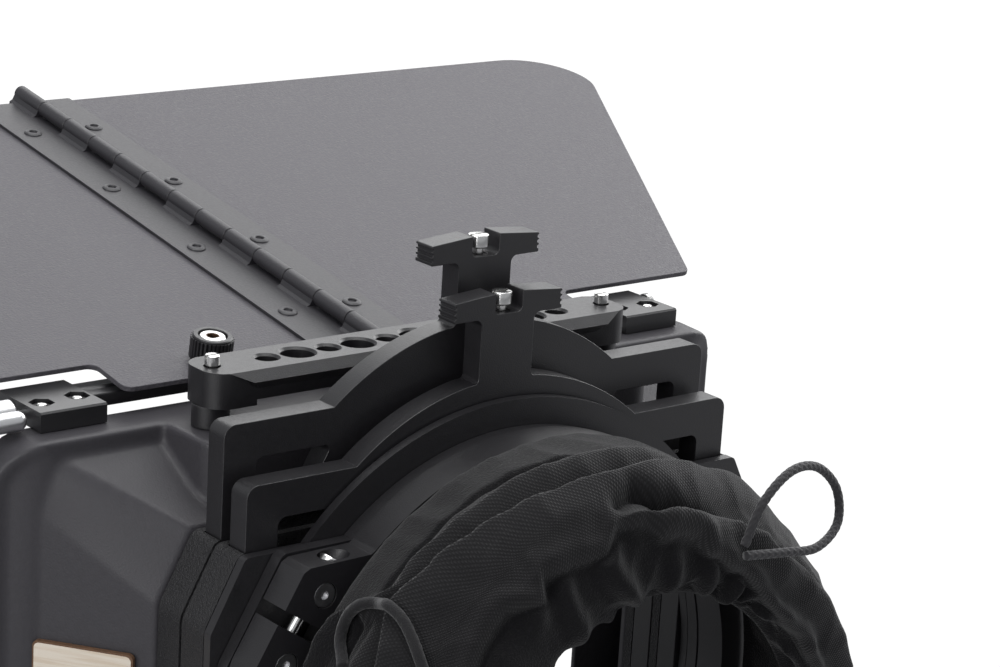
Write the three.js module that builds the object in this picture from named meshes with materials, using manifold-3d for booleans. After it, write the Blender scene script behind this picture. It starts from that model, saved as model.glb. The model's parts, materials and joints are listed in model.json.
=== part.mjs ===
// A box-type lens hood (matte box) for a cine lens, in millimetres.
//
// The frame: the origin lies in the middle of the front filter stage's flat underside, where a
// support bracket would be screwed on. +Y points forward to the subject, +X right and +Z up, as the
// camera operator stands behind it. The sizes below are written in hood coordinates, which have the
// same axes but start on the optical axis, in the rear face of the rear filter stage.
//
// From back to front: a gathered fabric light trap, a split clamp ring, a lens flange, a rear plate,
// two filter stages with a pull-up filter frame each, the moulded hood, an accessory rail over the
// hood, and a tilting top flag of two panels joined by a piano hinge.

import * as THREE from "three";
import { mergeVertices } from "three/addons/utils/BufferGeometryUtils.js";
import Module from "manifold-3d";

// ---------------------------------------------------------------- driving dimensions

const GAP = 0.25; // clearance between neighbouring pieces
const SUPPORT_Y = 16.8; // the origin's place in hood coordinates, on the underside of the front stage

// filter stages and rear plate
const STAGE_PITCH = 11.2; // distance between the two stages along the optical axis
const STAGE_HALF_WIDTH = 94;
const STAGE_HALF_HEIGHT = 57.5;
const STAGE_CORNER_X = 84; // where the cut corners meet the flat top
const STAGE_CORNER_Z = 38.5; // where the cut corners meet the straight sides
const STAGE_APERTURE_X = 70;
const STAGE_APERTURE_Z = 49;
const PLATE_FRONT_Y = -GAP;
const PLATE_REAR_Y = -3.1;
const PLATE_DISC_RADIUS = 87.1;

// filter frames
const FRAME_HALF_WIDTH = 82;
const FRAME_THICKNESS = 7.2;
const FRAME_BOTTOM_Z = -55.4;
const FRAME_BAR_TOP_Z = 75.1; // rear frame, pushed fully home
const FRAME_BAR_HEIGHT = 10;
const FRAME_RAISED = 13; // the front frame rests this much higher
const FILTER_HALF_WIDTH = 70; // clear window for a 4 x 5.65 inch filter
const FILTER_HALF_HEIGHT = 49;
const ARCH_RADIUS = 74;
const ARCH_CENTRE_BELOW_BAR = 56.5;
const STEM_HALF_WIDTH = 8.95;
const TEE_HALF_WIDTH = 18.3;
const TEE_BOTTOM = 34.5; // above the bar's top
const TEE_TOP = 40.3;

// lens flange, clamp ring and fabric light trap
const BORE_RADIUS = 71.5; // 143 mm, assumed: a common rear bore
const FLANGE_RADIUS = 79.4;
const FLANGE_REAR_Y = -7.2;
const RING_RADIUS = 80.3;
const RING_FRONT_Y = -8;
const RING_REAR_Y = -18;
const CLAMP_GAP = 4;
const NUT_RADIUS = 3.4;
const NUT_UPPER = [-69.5, 49.7]; // x, z of the upper barrel nut
const NUT_LOWER = [-80.6, 32.8];
const TRAP_LENS_RADIUS = 52; // the gathered mouth that closes on the lens
const CORD_RADIUS = 1.3;

// hood
const HOOD_REAR_Y = 22;
const HOOD_FRONT_Y = 62;
const HOOD_TOP_Z = 78;
const HOOD_HALF_WIDTH = 125;
const HOOD_CORNER = 14;
const HOOD_WALL = 3;
const FUNNEL_HALF_WIDTH = 118;
const FUNNEL_HALF_HEIGHT = 73.8;
const RIM_REAR_Y_TOP = 47.5; // the rim's rear edge along the top and bottom
const RIM_REAR_Y_SIDE = 54; // and along the sides
const PAD_HALF_WIDTH = 76.5;
const PAD_REAR_Y = 25;
const BADGE_LENGTH = 28.4;
const BADGE_HEIGHT = 17.6;
const BADGE_Z = 15; // height of its middle
const BADGE_PLACE = 0.485; // how far along the flank its middle lies

// accessory rail
const RAIL_Y = 40.4;
const RAIL_TOP_Z = 94.4;
const RAIL_BOTTOM_Z = 84.5;
const RAIL_HALF_LENGTH = 72;
const RAIL_HALF_WIDTH = 8.45;
const RAIL_END_RADIUS = 6;
const RAIL_EDGE = 2.6; // size of the 45 degree dovetail edges
const RAIL_HOLE_PITCH = 10;
const RAIL_SMALL_HOLE = 3.0; // 1/4 inch thread
const RAIL_LARGE_HOLE = 4.5; // 3/8 inch thread
const POST_X = 67.3;
const POST_RADIUS = 5.2;

// flag mount
const BLOCK_INNER_X = 90.5;
const BLOCK_OUTER_X = 110.5;
const BLOCK_REAR_Y = 54.5;
const BLOCK_FRONT_Y = 77.7;
const BLOCK_BOTTOM_Z = HOOD_TOP_Z + GAP;
const BLOCK_TOP_Z = 83.7;
const TILT_Y = 70; // axis of the flag's tilt
const TILT_Z = 80.9;
const TILT_REST = THREE.MathUtils.degToRad(8.57);
const LOCK_Y = 65.8; // axis of the lever that locks the tilt
const LOCK_Z = 80.2;
const LOCK_INNER_X = 112.9;
const LOCK_OUTER_X = 123.8;
const LOCK_RADIUS = 4.4;
const GRIP_RADIUS = 2.7;

// flag, measured along its own plane from the tilt axis: s runs forward, h stands off the axis
const PANEL_BOTTOM_H = 4.2;
const PANEL_THICKNESS = 1.5;
const LEAF_BOTTOM_H = PANEL_BOTTOM_H + PANEL_THICKNESS + 0.1;
const LEAF_TOP_H = LEAF_BOTTOM_H + 0.9;
const LEAF_HALF_WIDTH = 17.5;
const LEAF_REAR_S = -12;
const LEAF_FRONT_S = 192.4;
const PIN_H = 9.4;
const PIN_RADIUS = 1.1;
const KNUCKLE_RADIUS = 2.4;
const KNUCKLE_PITCH = 15.99;
const KNUCKLE_COUNT = 13;
const HINGE_REAR_S = -13.3;
const HINGE_FRONT_S = HINGE_REAR_S + KNUCKLE_COUNT * KNUCKLE_PITCH;
const FLAG_FRONT_S = 193;
const FLAG_SHOULDER_S = 6.5;
const FLAG_TAB_S = -10;
const FLAG_TAB_X = 82;
const FLAG_REAR_X = 134; // half width at the shoulders
const FLAG_FRONT_X = 239.5; // and at the front, before its corners are rounded
const FLAG_CORNER_RADIUS = 22.5;
const RIVET_X = 11.3;
const RIVET_S = [17.7, 67, 116.3, 165.6];
const KNOB_X = 50.5;
const KNOB_S = -2.2;
const KNOB_TOP_H = 13.6;

const SEGMENTS = 14; // sides of a small round
const BIG_SEGMENTS = 48; // sides of the rings around the lens

// ---------------------------------------------------------------- materials

const finish = (color, roughness, metalness) =>
  new THREE.MeshStandardMaterial({ color, roughness, metalness });
const blackAnodised = finish(0x2a2a2d, 0.45, 0.7);
const blackSteel = finish(0x1d1d20, 0.4, 0.8);
const mouldedPlastic = finish(0x3b3b40, 0.6, 0.0);
const texturedPlastic = finish(0x2c2c2f, 0.8, 0.0);
const powderCoat = finish(0x5b5a60, 0.75, 0.1);
const hingeSteel = finish(0x2f2e33, 0.5, 0.6);
const silver = finish(0xd8d8d6, 0.25, 1.0);
const wood = finish(0xe9dcc8, 0.7, 0.0);
const knit = finish(0x17171a, 0.95, 0.0);

// ---------------------------------------------------------------- solids

const wasm = await Module();
wasm.setup();

/** Turns a closed three.js geometry into a solid that can be joined and cut. */
function solid(geometry) {
  const bare = geometry.clone();
  bare.deleteAttribute("normal");
  bare.deleteAttribute("uv");
  const merged = mergeVertices(bare, 1e-4);
  return new wasm.Manifold(
    new wasm.Mesh({
      numProp: 3,
      vertProperties: new Float32Array(merged.attributes.position.array),
      triVerts: new Uint32Array(merged.index.array),
    }),
  );
}

const join = (first, ...others) => others.reduce((a, b) => a.add(b), first);
const cut = (first, ...tools) => tools.reduce((a, b) => a.subtract(b), first);

/** Turns a solid back into a three.js geometry. */
function geometryOf(body) {
  const mesh = body.getMesh();
  const positions = [];
  for (let i = 0; i < mesh.vertProperties.length; i += mesh.numProp) {
    positions.push(mesh.vertProperties[i], mesh.vertProperties[i + 1], mesh.vertProperties[i + 2]);
  }
  const geometry = new THREE.BufferGeometry();
  geometry.setAttribute("position", new THREE.Float32BufferAttribute(positions, 3));
  geometry.setIndex(Array.from(mesh.triVerts));
  geometry.computeVertexNormals();
  return geometry;
}

/** A polygon through the given corners, each rounded with the same radius where there is room. */
function roundedPolygon(corners, radius = 0) {
  const shape = new THREE.Shape();
  const points = corners.map(([x, y]) => new THREE.Vector2(x, y));
  points.forEach((corner, i) => {
    const before = points[(i + points.length - 1) % points.length];
    const after = points[(i + 1) % points.length];
    const room = Math.min(corner.distanceTo(before), corner.distanceTo(after)) / 2.01;
    const reach = Math.min(radius, room);
    const start = corner.clone().add(before.clone().sub(corner).setLength(reach));
    const end = corner.clone().add(after.clone().sub(corner).setLength(reach));
    if (i === 0) {
      shape.moveTo(start.x, start.y);
    } else {
      shape.lineTo(start.x, start.y);
    }
    if (reach > 0) {
      shape.quadraticCurveTo(corner.x, corner.y, end.x, end.y);
    }
  });
  shape.closePath();
  return shape;
}

function rectangle(x0, x1, y0, y1, radius = 0) {
  return roundedPolygon([[x0, y0], [x1, y0], [x1, y1], [x0, y1]], radius);
}

function disc(x, y, radius) {
  const shape = new THREE.Shape();
  shape.absarc(x, y, radius, 0, Math.PI * 2, false);
  return shape;
}

const ALONG_X = new THREE.Matrix4().makeBasis(
  new THREE.Vector3(0, 1, 0),
  new THREE.Vector3(0, 0, 1),
  new THREE.Vector3(1, 0, 0),
);

function extrude(shape, depth, curveSegments) {
  return new THREE.ExtrudeGeometry(shape, { depth, bevelEnabled: false, curveSegments });
}

/** An outline in x and z, given thickness along the optical axis. */
function plateY(shape, y0, y1, curveSegments = 6) {
  return solid(extrude(shape, y1 - y0, curveSegments).rotateX(Math.PI / 2).translate(0, y1, 0));
}

/** An outline in y and z, given length across the hood. */
function barX(shape, x0, x1, curveSegments = 6) {
  return solid(extrude(shape, x1 - x0, curveSegments).applyMatrix4(ALONG_X).translate(x0, 0, 0));
}

/** An outline in x and y, given height. */
function plateZ(shape, z0, z1, curveSegments = 6) {
  return solid(extrude(shape, z1 - z0, curveSegments).translate(0, 0, z0));
}

function box(x0, x1, y0, y1, z0, z1) {
  const geometry = new THREE.BoxGeometry(x1 - x0, y1 - y0, z1 - z0);
  return solid(geometry.translate((x0 + x1) / 2, (y0 + y1) / 2, (z0 + z1) / 2));
}

/** A box on one side of the middle plane, given by its inner and outer distance from it. */
function sideBox(side, inner, outer, y0, y1, z0, z1) {
  const [x0, x1] = side > 0 ? [inner, outer] : [-outer, -inner];
  return box(x0, x1, y0, y1, z0, z1);
}

/** Corners drawn for the right side, or their mirror image for the left. */
function sided(side, corners) {
  return side > 0 ? corners : corners.map(([x, v]) => [-x, v]).reverse();
}

/** A round rod, or a cone when the radii differ, between two points. */
function rod(from, to, radius, endRadius = radius, segments = SEGMENTS) {
  const a = new THREE.Vector3(...from);
  const b = new THREE.Vector3(...to);
  const geometry = new THREE.CylinderGeometry(endRadius, radius, a.distanceTo(b), segments);
  const turn = new THREE.Quaternion().setFromUnitVectors(
    new THREE.Vector3(0, 1, 0),
    b.clone().sub(a).normalize(),
  );
  geometry.applyQuaternion(turn);
  geometry.translate((a.x + b.x) / 2, (a.y + b.y) / 2, (a.z + b.z) / 2);
  return solid(geometry);
}

/** A ring around the optical axis. The profile lists [radius, y] once round, outside face first. */
function turnedY(profile, segments = BIG_SEGMENTS) {
  const points = [...profile, profile[0]].map(([r, y]) => new THREE.Vector2(r, y));
  return solid(new THREE.LatheGeometry(points, segments));
}

/** A closed skin through outlines that all have the same number of points. */
function loft(outlines) {
  const count = outlines[0].length;
  const positions = outlines.flat().flatMap((p) => [p.x, p.y, p.z]);
  const index = [];
  for (let k = 0; k + 1 < outlines.length; k += 1) {
    for (let i = 0; i < count; i += 1) {
      const a = k * count + i;
      const b = k * count + ((i + 1) % count);
      index.push(a, b, a + count, b, b + count, a + count);
    }
  }
  const cap = (outline, first, flip) => {
    const middle = outline.reduce((sum, p) => sum.add(p), new THREE.Vector3()).divideScalar(count);
    const centre = positions.length / 3;
    positions.push(middle.x, middle.y, middle.z);
    for (let i = 0; i < count; i += 1) {
      const a = first + i;
      const b = first + ((i + 1) % count);
      index.push(...(flip ? [centre, b, a] : [centre, a, b]));
    }
  };
  cap(outlines[0], 0, true);
  cap(outlines[outlines.length - 1], (outlines.length - 1) * count, false);
  const geometry = new THREE.BufferGeometry();
  geometry.setAttribute("position", new THREE.Float32BufferAttribute(positions, 3));
  geometry.setIndex(index);
  return solid(geometry);
}

const part = new THREE.Group();
const assembly = new THREE.Group();
assembly.position.set(0, -SUPPORT_Y, STAGE_HALF_HEIGHT);
part.add(assembly);

function place(name, body, material, parent = assembly) {
  const mesh = new THREE.Mesh(body.isBufferGeometry ? body : geometryOf(body), material);
  mesh.name = name;
  parent.add(mesh);
  return mesh;
}

// ---------------------------------------------------------------- stage outline

function octagon(inset = 0) {
  const x = STAGE_HALF_WIDTH - inset;
  const z = STAGE_HALF_HEIGHT - inset;
  const cx = STAGE_CORNER_X - inset * 0.6;
  const cz = STAGE_CORNER_Z - inset * 0.4;
  return [[x, cz], [cx, z], [-cx, z], [-x, cz], [-x, -cz], [-cx, -z], [cx, -z], [x, -cz]];
}

// ---------------------------------------------------------------- filter stages

const SLOT_DEPTH = 7.8;
const SLOT_HALF_WIDTH = FRAME_HALF_WIDTH + 0.4;
const SLOT_BOTTOM_Z = FRAME_BOTTOM_Z - 0.3;

/** One stage: a tray with a slot for the frame, open at the top and towards the rear. */
function stage(rearY) {
  const frontY = rearY + STAGE_PITCH - GAP;
  const body = plateY(roundedPolygon(octagon(), 2), rearY, frontY);
  const slot = box(-SLOT_HALF_WIDTH, SLOT_HALF_WIDTH, rearY - 1, rearY + SLOT_DEPTH, SLOT_BOTTOM_Z, 80);
  const aperture = plateY(
    rectangle(-STAGE_APERTURE_X, STAGE_APERTURE_X, -STAGE_APERTURE_Z, STAGE_APERTURE_Z, 4),
    rearY - 1,
    frontY + 1,
  );
  const seam = cut(
    plateY(roundedPolygon(octagon(-1), 2), frontY - 0.8, frontY + 1),
    plateY(roundedPolygon(octagon(0.5), 2), frontY - 2, frontY + 2),
  );
  return cut(body, slot, aperture, seam);
}

/** A bent strip spring that rubs on the frame's edge and holds it at any height. */
function frictionSpring(side, rearY) {
  const x = SLOT_HALF_WIDTH + 0.1;
  const bow = [[x + 2, -14], [x + 2.6, -14], [x + 0.9, 0], [x + 2.6, 14], [x + 2, 14], [x + 0.3, 0]];
  return plateY(roundedPolygon(sided(side, bow), 0.2), rearY + 2, rearY + 6, 3);
}

/** The pocket in the stage's side wall that the spring sits in, open to the rear. */
function springPocket(side, rearY) {
  return sideBox(side, SLOT_HALF_WIDTH - 1, SLOT_HALF_WIDTH + 3.4, rearY - 1, rearY + 6.6, -16, 16);
}

const stages = { rear: 0.1, front: 0.1 + STAGE_PITCH };
for (const [name, rearY] of Object.entries(stages)) {
  const housing = cut(stage(rearY), springPocket(1, rearY), springPocket(-1, rearY));
  place(`stage_${name}`, housing, texturedPlastic);
  place(`friction_spring_${name}_left`, frictionSpring(-1, rearY), blackSteel);
  place(`friction_spring_${name}_right`, frictionSpring(1, rearY), blackSteel);
}

// ---------------------------------------------------------------- filter frames

/** The frame's plate: filter window, handle windows, arch, stem and T-shaped pull. */
function frameShape() {
  const top = FRAME_BAR_TOP_Z;
  const archZ = top - ARCH_CENTRE_BELOW_BAR;
  const kink = Math.acos(ARCH_CENTRE_BELOW_BAR / ARCH_RADIUS);
  const stemAngle = Math.asin(STEM_HALF_WIDTH / ARCH_RADIUS);
  const corner = 3.5;
  const shape = new THREE.Shape();
  shape.moveTo(-FRAME_HALF_WIDTH, FRAME_BOTTOM_Z + corner);
  const cornerX = FRAME_HALF_WIDTH - corner;
  shape.absarc(-cornerX, FRAME_BOTTOM_Z + corner, corner, Math.PI, Math.PI * 1.5, false);
  shape.absarc(cornerX, FRAME_BOTTOM_Z + corner, corner, -Math.PI / 2, 0, false);
  shape.absarc(cornerX, top - corner, corner, 0, Math.PI / 2, false);
  shape.absarc(0, archZ, ARCH_RADIUS, Math.PI / 2 - kink, Math.PI / 2 - stemAngle - 0.03, false);
  const stemFoot = archZ + ARCH_RADIUS * Math.cos(stemAngle) + 2;
  shape.quadraticCurveTo(STEM_HALF_WIDTH, stemFoot - 2, STEM_HALF_WIDTH, stemFoot + 1);
  shape.lineTo(STEM_HALF_WIDTH, top + TEE_BOTTOM - 1.5);
  shape.quadraticCurveTo(STEM_HALF_WIDTH, top + TEE_BOTTOM, STEM_HALF_WIDTH + 1.5, top + TEE_BOTTOM);
  shape.lineTo(TEE_HALF_WIDTH, top + TEE_BOTTOM);
  shape.lineTo(TEE_HALF_WIDTH, top + TEE_TOP - 0.6);
  shape.lineTo(TEE_HALF_WIDTH - 0.6, top + TEE_TOP);
  shape.lineTo(4.6, top + TEE_TOP + 0.9);
  shape.lineTo(4.6, top + TEE_BOTTOM + 2.2);
  shape.quadraticCurveTo(4.6, top + TEE_BOTTOM + 0.8, 3.2, top + TEE_BOTTOM + 0.8);
  shape.lineTo(-3.2, top + TEE_BOTTOM + 0.8);
  shape.quadraticCurveTo(-4.6, top + TEE_BOTTOM + 0.8, -4.6, top + TEE_BOTTOM + 2.2);
  shape.lineTo(-4.6, top + TEE_TOP + 0.9);
  shape.lineTo(-TEE_HALF_WIDTH + 0.6, top + TEE_TOP);
  shape.lineTo(-TEE_HALF_WIDTH, top + TEE_TOP - 0.6);
  shape.lineTo(-TEE_HALF_WIDTH, top + TEE_BOTTOM);
  shape.lineTo(-STEM_HALF_WIDTH - 1.5, top + TEE_BOTTOM);
  shape.quadraticCurveTo(-STEM_HALF_WIDTH, top + TEE_BOTTOM, -STEM_HALF_WIDTH, top + TEE_BOTTOM - 1.5);
  shape.lineTo(-STEM_HALF_WIDTH, stemFoot + 1);
  const leftFoot = Math.PI / 2 + stemAngle + 0.03;
  shape.quadraticCurveTo(
    -STEM_HALF_WIDTH,
    stemFoot - 2,
    ARCH_RADIUS * Math.cos(leftFoot),
    archZ + ARCH_RADIUS * Math.sin(leftFoot),
  );
  shape.absarc(0, archZ, ARCH_RADIUS, leftFoot, Math.PI / 2 + kink, false);
  shape.absarc(-cornerX, top - corner, corner, Math.PI / 2, Math.PI, false);
  shape.closePath();
  return shape;
}

const HANDLE_WINDOW_OUTER_X = 72;
const HANDLE_WINDOW_INNER_X = 48;
const HANDLE_WINDOW_BOTTOM_Z = 54;
const HANDLE_SCREW_Z = FRAME_BAR_TOP_Z + TEE_BOTTOM + 0.8;

function filterFrame() {
  const body = plateY(frameShape(), 0, FRAME_THICKNESS, 6);
  const filterWindow = plateY(
    rectangle(-FILTER_HALF_WIDTH, FILTER_HALF_WIDTH, -FILTER_HALF_HEIGHT, FILTER_HALF_HEIGHT, 2),
    -1,
    FRAME_THICKNESS + 1,
    2,
  );
  const filterSeat = box(-71.9, 71.9, 2, 6, -51, 51);
  const windowTop = FRAME_BAR_TOP_Z - FRAME_BAR_HEIGHT;
  const handleWindow = (side) => {
    const corners = [
      [HANDLE_WINDOW_OUTER_X, HANDLE_WINDOW_BOTTOM_Z],
      [HANDLE_WINDOW_OUTER_X, windowTop],
      [HANDLE_WINDOW_INNER_X, windowTop],
      [HANDLE_WINDOW_INNER_X + 6, HANDLE_WINDOW_BOTTOM_Z],
    ];
    return plateY(roundedPolygon(sided(side, corners), 2.5), -1, FRAME_THICKNESS + 1, 3);
  };
  const grooves = [];
  for (const side of [-1, 1]) {
    for (const above of [1.6, 3.1, 4.6]) {
      const x = side * TEE_HALF_WIDTH;
      const z = FRAME_BAR_TOP_Z + TEE_BOTTOM + above;
      grooves.push(box(x - 0.5, x + 0.5, -1, FRAME_THICKNESS + 1, z - 0.3, z + 0.3));
    }
  }
  const screwHole = rod([0, 3.6, HANDLE_SCREW_Z - 8], [0, 3.6, HANDLE_SCREW_Z + 1], 1.7);
  return cut(body, filterWindow, filterSeat, handleWindow(1), handleWindow(-1), screwHole, ...grooves);
}

/** The slotted captive screw that stands in the notch of the pull. */
function handleScrew() {
  const shank = rod([0, 3.6, HANDLE_SCREW_Z - 6], [0, 3.6, HANDLE_SCREW_Z + 2.4], 1.5);
  const head = rod([0, 3.6, HANDLE_SCREW_Z + 2], [0, 3.6, HANDLE_SCREW_Z + 5.4], 2.9);
  const rim = rod([0, 3.6, HANDLE_SCREW_Z + 5.3], [0, 3.6, HANDLE_SCREW_Z + 5.9], 2.9, 2.4);
  const slot = box(-4, 4, 3.25, 3.95, HANDLE_SCREW_Z + 4.9, HANDLE_SCREW_Z + 7);
  return cut(join(shank, head, rim), slot);
}

for (const [name, rearY] of Object.entries(stages)) {
  const frame = new THREE.Group();
  frame.position.set(0, rearY + 0.3, name === "front" ? FRAME_RAISED : 0);
  place(`filter_frame_${name}`, filterFrame(), blackAnodised, frame);
  place(`handle_screw_${name}`, handleScrew(), silver, frame);
  assembly.add(frame);
}

// ---------------------------------------------------------------- rear plate, flange and clamp ring

const FLANGE_LUG = [[-40, 56], [-54, 58.5], [-75.5, 58.5], [-92, 30], [-90, 20], [-74, 4], [-60, 20]];
const RING_LUG = [[-40, 58], [-54, 59.2], [-55.5, 58.5], [-74.5, 58], [-76, 57], [-90.5, 33], [-90, 21],
  [-74, 4], [-60, 20]];

/** A hole round the optical axis, from behind the ring to the front of the rear plate. */
function throughBore(radius) {
  return rod([0, -20, 0], [0, 1, 0], radius, radius, BIG_SEGMENTS);
}

function rearPlate() {
  const y0 = PLATE_REAR_Y;
  const y1 = PLATE_FRONT_Y;
  const body = join(
    plateY(roundedPolygon(octagon(), 2), y0, y1),
    plateY(disc(0, 0, PLATE_DISC_RADIUS), y0, y1, BIG_SEGMENTS / 2),
  );
  return cut(body, throughBore(BORE_RADIUS));
}

/** The stepped flange between the rear plate and the ring, with a lug beside the clamp screw. */
function lensFlange() {
  const y0 = FLANGE_REAR_Y;
  const y1 = PLATE_REAR_Y - GAP;
  const ring = [[FLANGE_RADIUS, y0 + 0.8], [FLANGE_RADIUS, y1], [BORE_RADIUS, y1], [BORE_RADIUS, y0],
    [FLANGE_RADIUS - 0.8, y0]];
  const body = join(turnedY(ring), plateY(roundedPolygon(FLANGE_LUG, 2), y0, y1));
  return cut(body, throughBore(BORE_RADIUS));
}

const screwAxis = new THREE.Vector2(NUT_UPPER[0] - NUT_LOWER[0], NUT_UPPER[1] - NUT_LOWER[1]).normalize();
const screwMiddle = new THREE.Vector2(
  (NUT_UPPER[0] + NUT_LOWER[0]) / 2,
  (NUT_UPPER[1] + NUT_LOWER[1]) / 2,
);
const ringMiddleY = (RING_FRONT_Y + RING_REAR_Y) / 2;

/** A point on the clamp screw's axis, this far from its middle towards the head. */
function onScrew(distance) {
  return [screwMiddle.x + screwAxis.x * distance, ringMiddleY, screwMiddle.y + screwAxis.y * distance];
}

/** The cut that splits the ring: a slot across the screw, from the bore out through the lugs. */
function splitSlot() {
  const slot = solid(new THREE.BoxGeometry(44, 14, CLAMP_GAP));
  const angle = THREE.MathUtils.radToDeg(Math.atan2(-screwAxis.x, screwAxis.y));
  return slot.rotate([0, angle, 0]).translate([screwMiddle.x, ringMiddleY, screwMiddle.y]);
}

function clampRing() {
  const y0 = RING_REAR_Y;
  const y1 = RING_FRONT_Y;
  const ring = [[RING_RADIUS, y0 + 0.6], [RING_RADIUS, y1 - 0.6], [RING_RADIUS - 0.6, y1],
    [BORE_RADIUS, y1], [BORE_RADIUS, y0], [RING_RADIUS - 0.6, y0]];
  const body = join(turnedY(ring), plateY(roundedPolygon(RING_LUG, 1.2), y0 + 0.6, y1 - 0.6));
  const nutBores = [NUT_UPPER, NUT_LOWER].map(([x, z]) =>
    rod([x, y0 - 1, z], [x, y1 + 1, z], NUT_RADIUS + 0.1));
  const screwBore = rod(onScrew(-14.5), onScrew(30), 1.9);
  const headBore = rod(onScrew(15.2), onScrew(40), 3.6);
  return cut(body, throughBore(BORE_RADIUS), splitSlot(), screwBore, headBore, ...nutBores);
}

/** A round nut that lies across the lug, with a cross hole for the clamp screw. */
function barrelNut([x, z], holeRadius) {
  const body = rod([x, RING_REAR_Y + 0.3, z], [x, RING_FRONT_Y - 0.3, z], NUT_RADIUS);
  return cut(body, rod(onScrew(-30), onScrew(30), holeRadius, holeRadius));
}

function clampScrew() {
  const shank = rod(onScrew(-13.5), onScrew(16), 1.55);
  const head = rod(onScrew(15.6), onScrew(19.4), 3.1);
  const socket = rod(onScrew(17.6), onScrew(21), 1.5, 1.5, 6);
  return cut(join(shank, head), socket);
}

place("rear_plate", rearPlate(), blackAnodised);
place("lens_flange", lensFlange(), blackAnodised);
place("clamp_ring", clampRing(), blackAnodised);
place("clamp_nut_upper", barrelNut(NUT_UPPER, 1.75), silver);
place("clamp_nut_lower", barrelNut(NUT_LOWER, 1.75), silver);
place("clamp_screw", clampScrew(), silver);

// ---------------------------------------------------------------- fabric light trap

/** The fabric sleeve behind the clamp ring: it bulges, then turns inwards to its gathered mouth. */
function lightTrap() {
  const front = RING_REAR_Y - 0.6;
  const outside = [[TRAP_LENS_RADIUS, -66], [53, -71], [60, -74], [71, -71], [79, -62], [84.5, -52],
    [86, -42], [85, -30], [83.5, -20], [79, front]];
  const inside = [[74, front], [78, -22], [80.5, -30], [81.5, -42], [80, -50], [75, -59], [69, -67],
    [61, -70], [56, -66]];
  return turnedY([...outside, ...inside], 36);
}

/** The pull loop of the drawcord that closes the trap's mouth. */
function cordLoop() {
  const path = new THREE.CatmullRomCurve3([
    new THREE.Vector3(19, -76.5, 65.5),
    new THREE.Vector3(24, -77, 77),
    new THREE.Vector3(36, -74, 82.5),
    new THREE.Vector3(49, -70.5, 80.5),
    new THREE.Vector3(58.5, -69, 72.5),
    new THREE.Vector3(58, -71, 63.5),
    new THREE.Vector3(47, -75, 60),
    new THREE.Vector3(34, -76.5, 62),
    new THREE.Vector3(23, -77, 64),
  ]);
  return new THREE.ExtrudeGeometry(disc(0, 0, CORD_RADIUS), {
    steps: 26,
    extrudePath: path,
    bevelEnabled: false,
    curveSegments: 3,
  });
}

place("light_trap", lightTrap(), knit);
place("drawcord_loop", cordLoop(), knit);

// ---------------------------------------------------------------- hood

const QUARTER_STEPS = 6;

/** One outline of the hood: a rounded rectangle whose y goes from top to side round each corner. */
function rimOutline(halfWidth, halfHeight, radius, topY, sideY) {
  const outline = [];
  for (let quarter = 0; quarter < 4; quarter += 1) {
    const sx = quarter === 0 || quarter === 3 ? 1 : -1;
    const sz = quarter < 2 ? 1 : -1;
    for (let i = 0; i <= QUARTER_STEPS; i += 1) {
      const turn = ((quarter + i / QUARTER_STEPS) * Math.PI) / 2;
      const blend = Math.abs(Math.sin(turn));
      const y = sideY + (topY - sideY) * blend * blend;
      const x = sx * (halfWidth - radius) + radius * Math.cos(turn);
      const z = sz * (halfHeight - radius) + radius * Math.sin(turn);
      outline.push(new THREE.Vector3(x, y, z));
    }
  }
  return outline.reverse();
}

/** The stage's cut-corner outline, with as many points as a rim outline. */
function stageOutline(y, inset) {
  const corners = octagon(inset);
  const outline = [];
  for (let quarter = 0; quarter < 4; quarter += 1) {
    const first = corners[quarter * 2];
    const second = corners[quarter * 2 + 1];
    for (let i = 0; i <= QUARTER_STEPS; i += 1) {
      const t = i / QUARTER_STEPS;
      const x = first[0] + (second[0] - first[0]) * t;
      const z = first[1] + (second[1] - first[1]) * t;
      outline.push(new THREE.Vector3(x, y, z));
    }
  }
  return outline.reverse();
}

/** The hood's solid before it is hollowed; inset shrinks it to the hollow's size. */
function hoodForm(inset, rearY, frontY) {
  const topY = RIM_REAR_Y_TOP + inset;
  const sideY = RIM_REAR_Y_SIDE + inset;
  const width = HOOD_HALF_WIDTH - inset;
  const height = HOOD_TOP_Z - inset;
  const funnelX = FUNNEL_HALF_WIDTH - inset;
  const funnelZ = FUNNEL_HALF_HEIGHT - inset;
  const funnel = loft([
    stageOutline(rearY, inset),
    rimOutline(funnelX, funnelZ, 10, RIM_REAR_Y_TOP + 1, RIM_REAR_Y_SIDE + 1),
  ]);
  const rim = loft([
    rimOutline(width - 4, height - 1.2, HOOD_CORNER - 2, topY, sideY),
    rimOutline(width, height, HOOD_CORNER, topY + 2.5, sideY + 2.5),
    rimOutline(width + 1, height, HOOD_CORNER, frontY, frontY),
  ]);
  const pad = plateZ(
    rectangle(-PAD_HALF_WIDTH + inset, PAD_HALF_WIDTH - inset, PAD_REAR_Y + inset, frontY - 4, 8),
    -HOOD_TOP_Z + inset,
    HOOD_TOP_Z - inset,
  );
  return join(funnel, rim, pad);
}

function hoodShell() {
  const hollow = hoodForm(HOOD_WALL, HOOD_REAR_Y + HOOD_WALL, HOOD_FRONT_Y + 1);
  const apertureX = STAGE_APERTURE_X + 2;
  const apertureZ = STAGE_APERTURE_Z + 2;
  const lightPath = box(-apertureX, apertureX, 0, 40, -apertureZ, apertureZ);
  return cut(hoodForm(0, HOOD_REAR_Y + 0.4, HOOD_FRONT_Y), hollow, lightPath);
}

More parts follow.
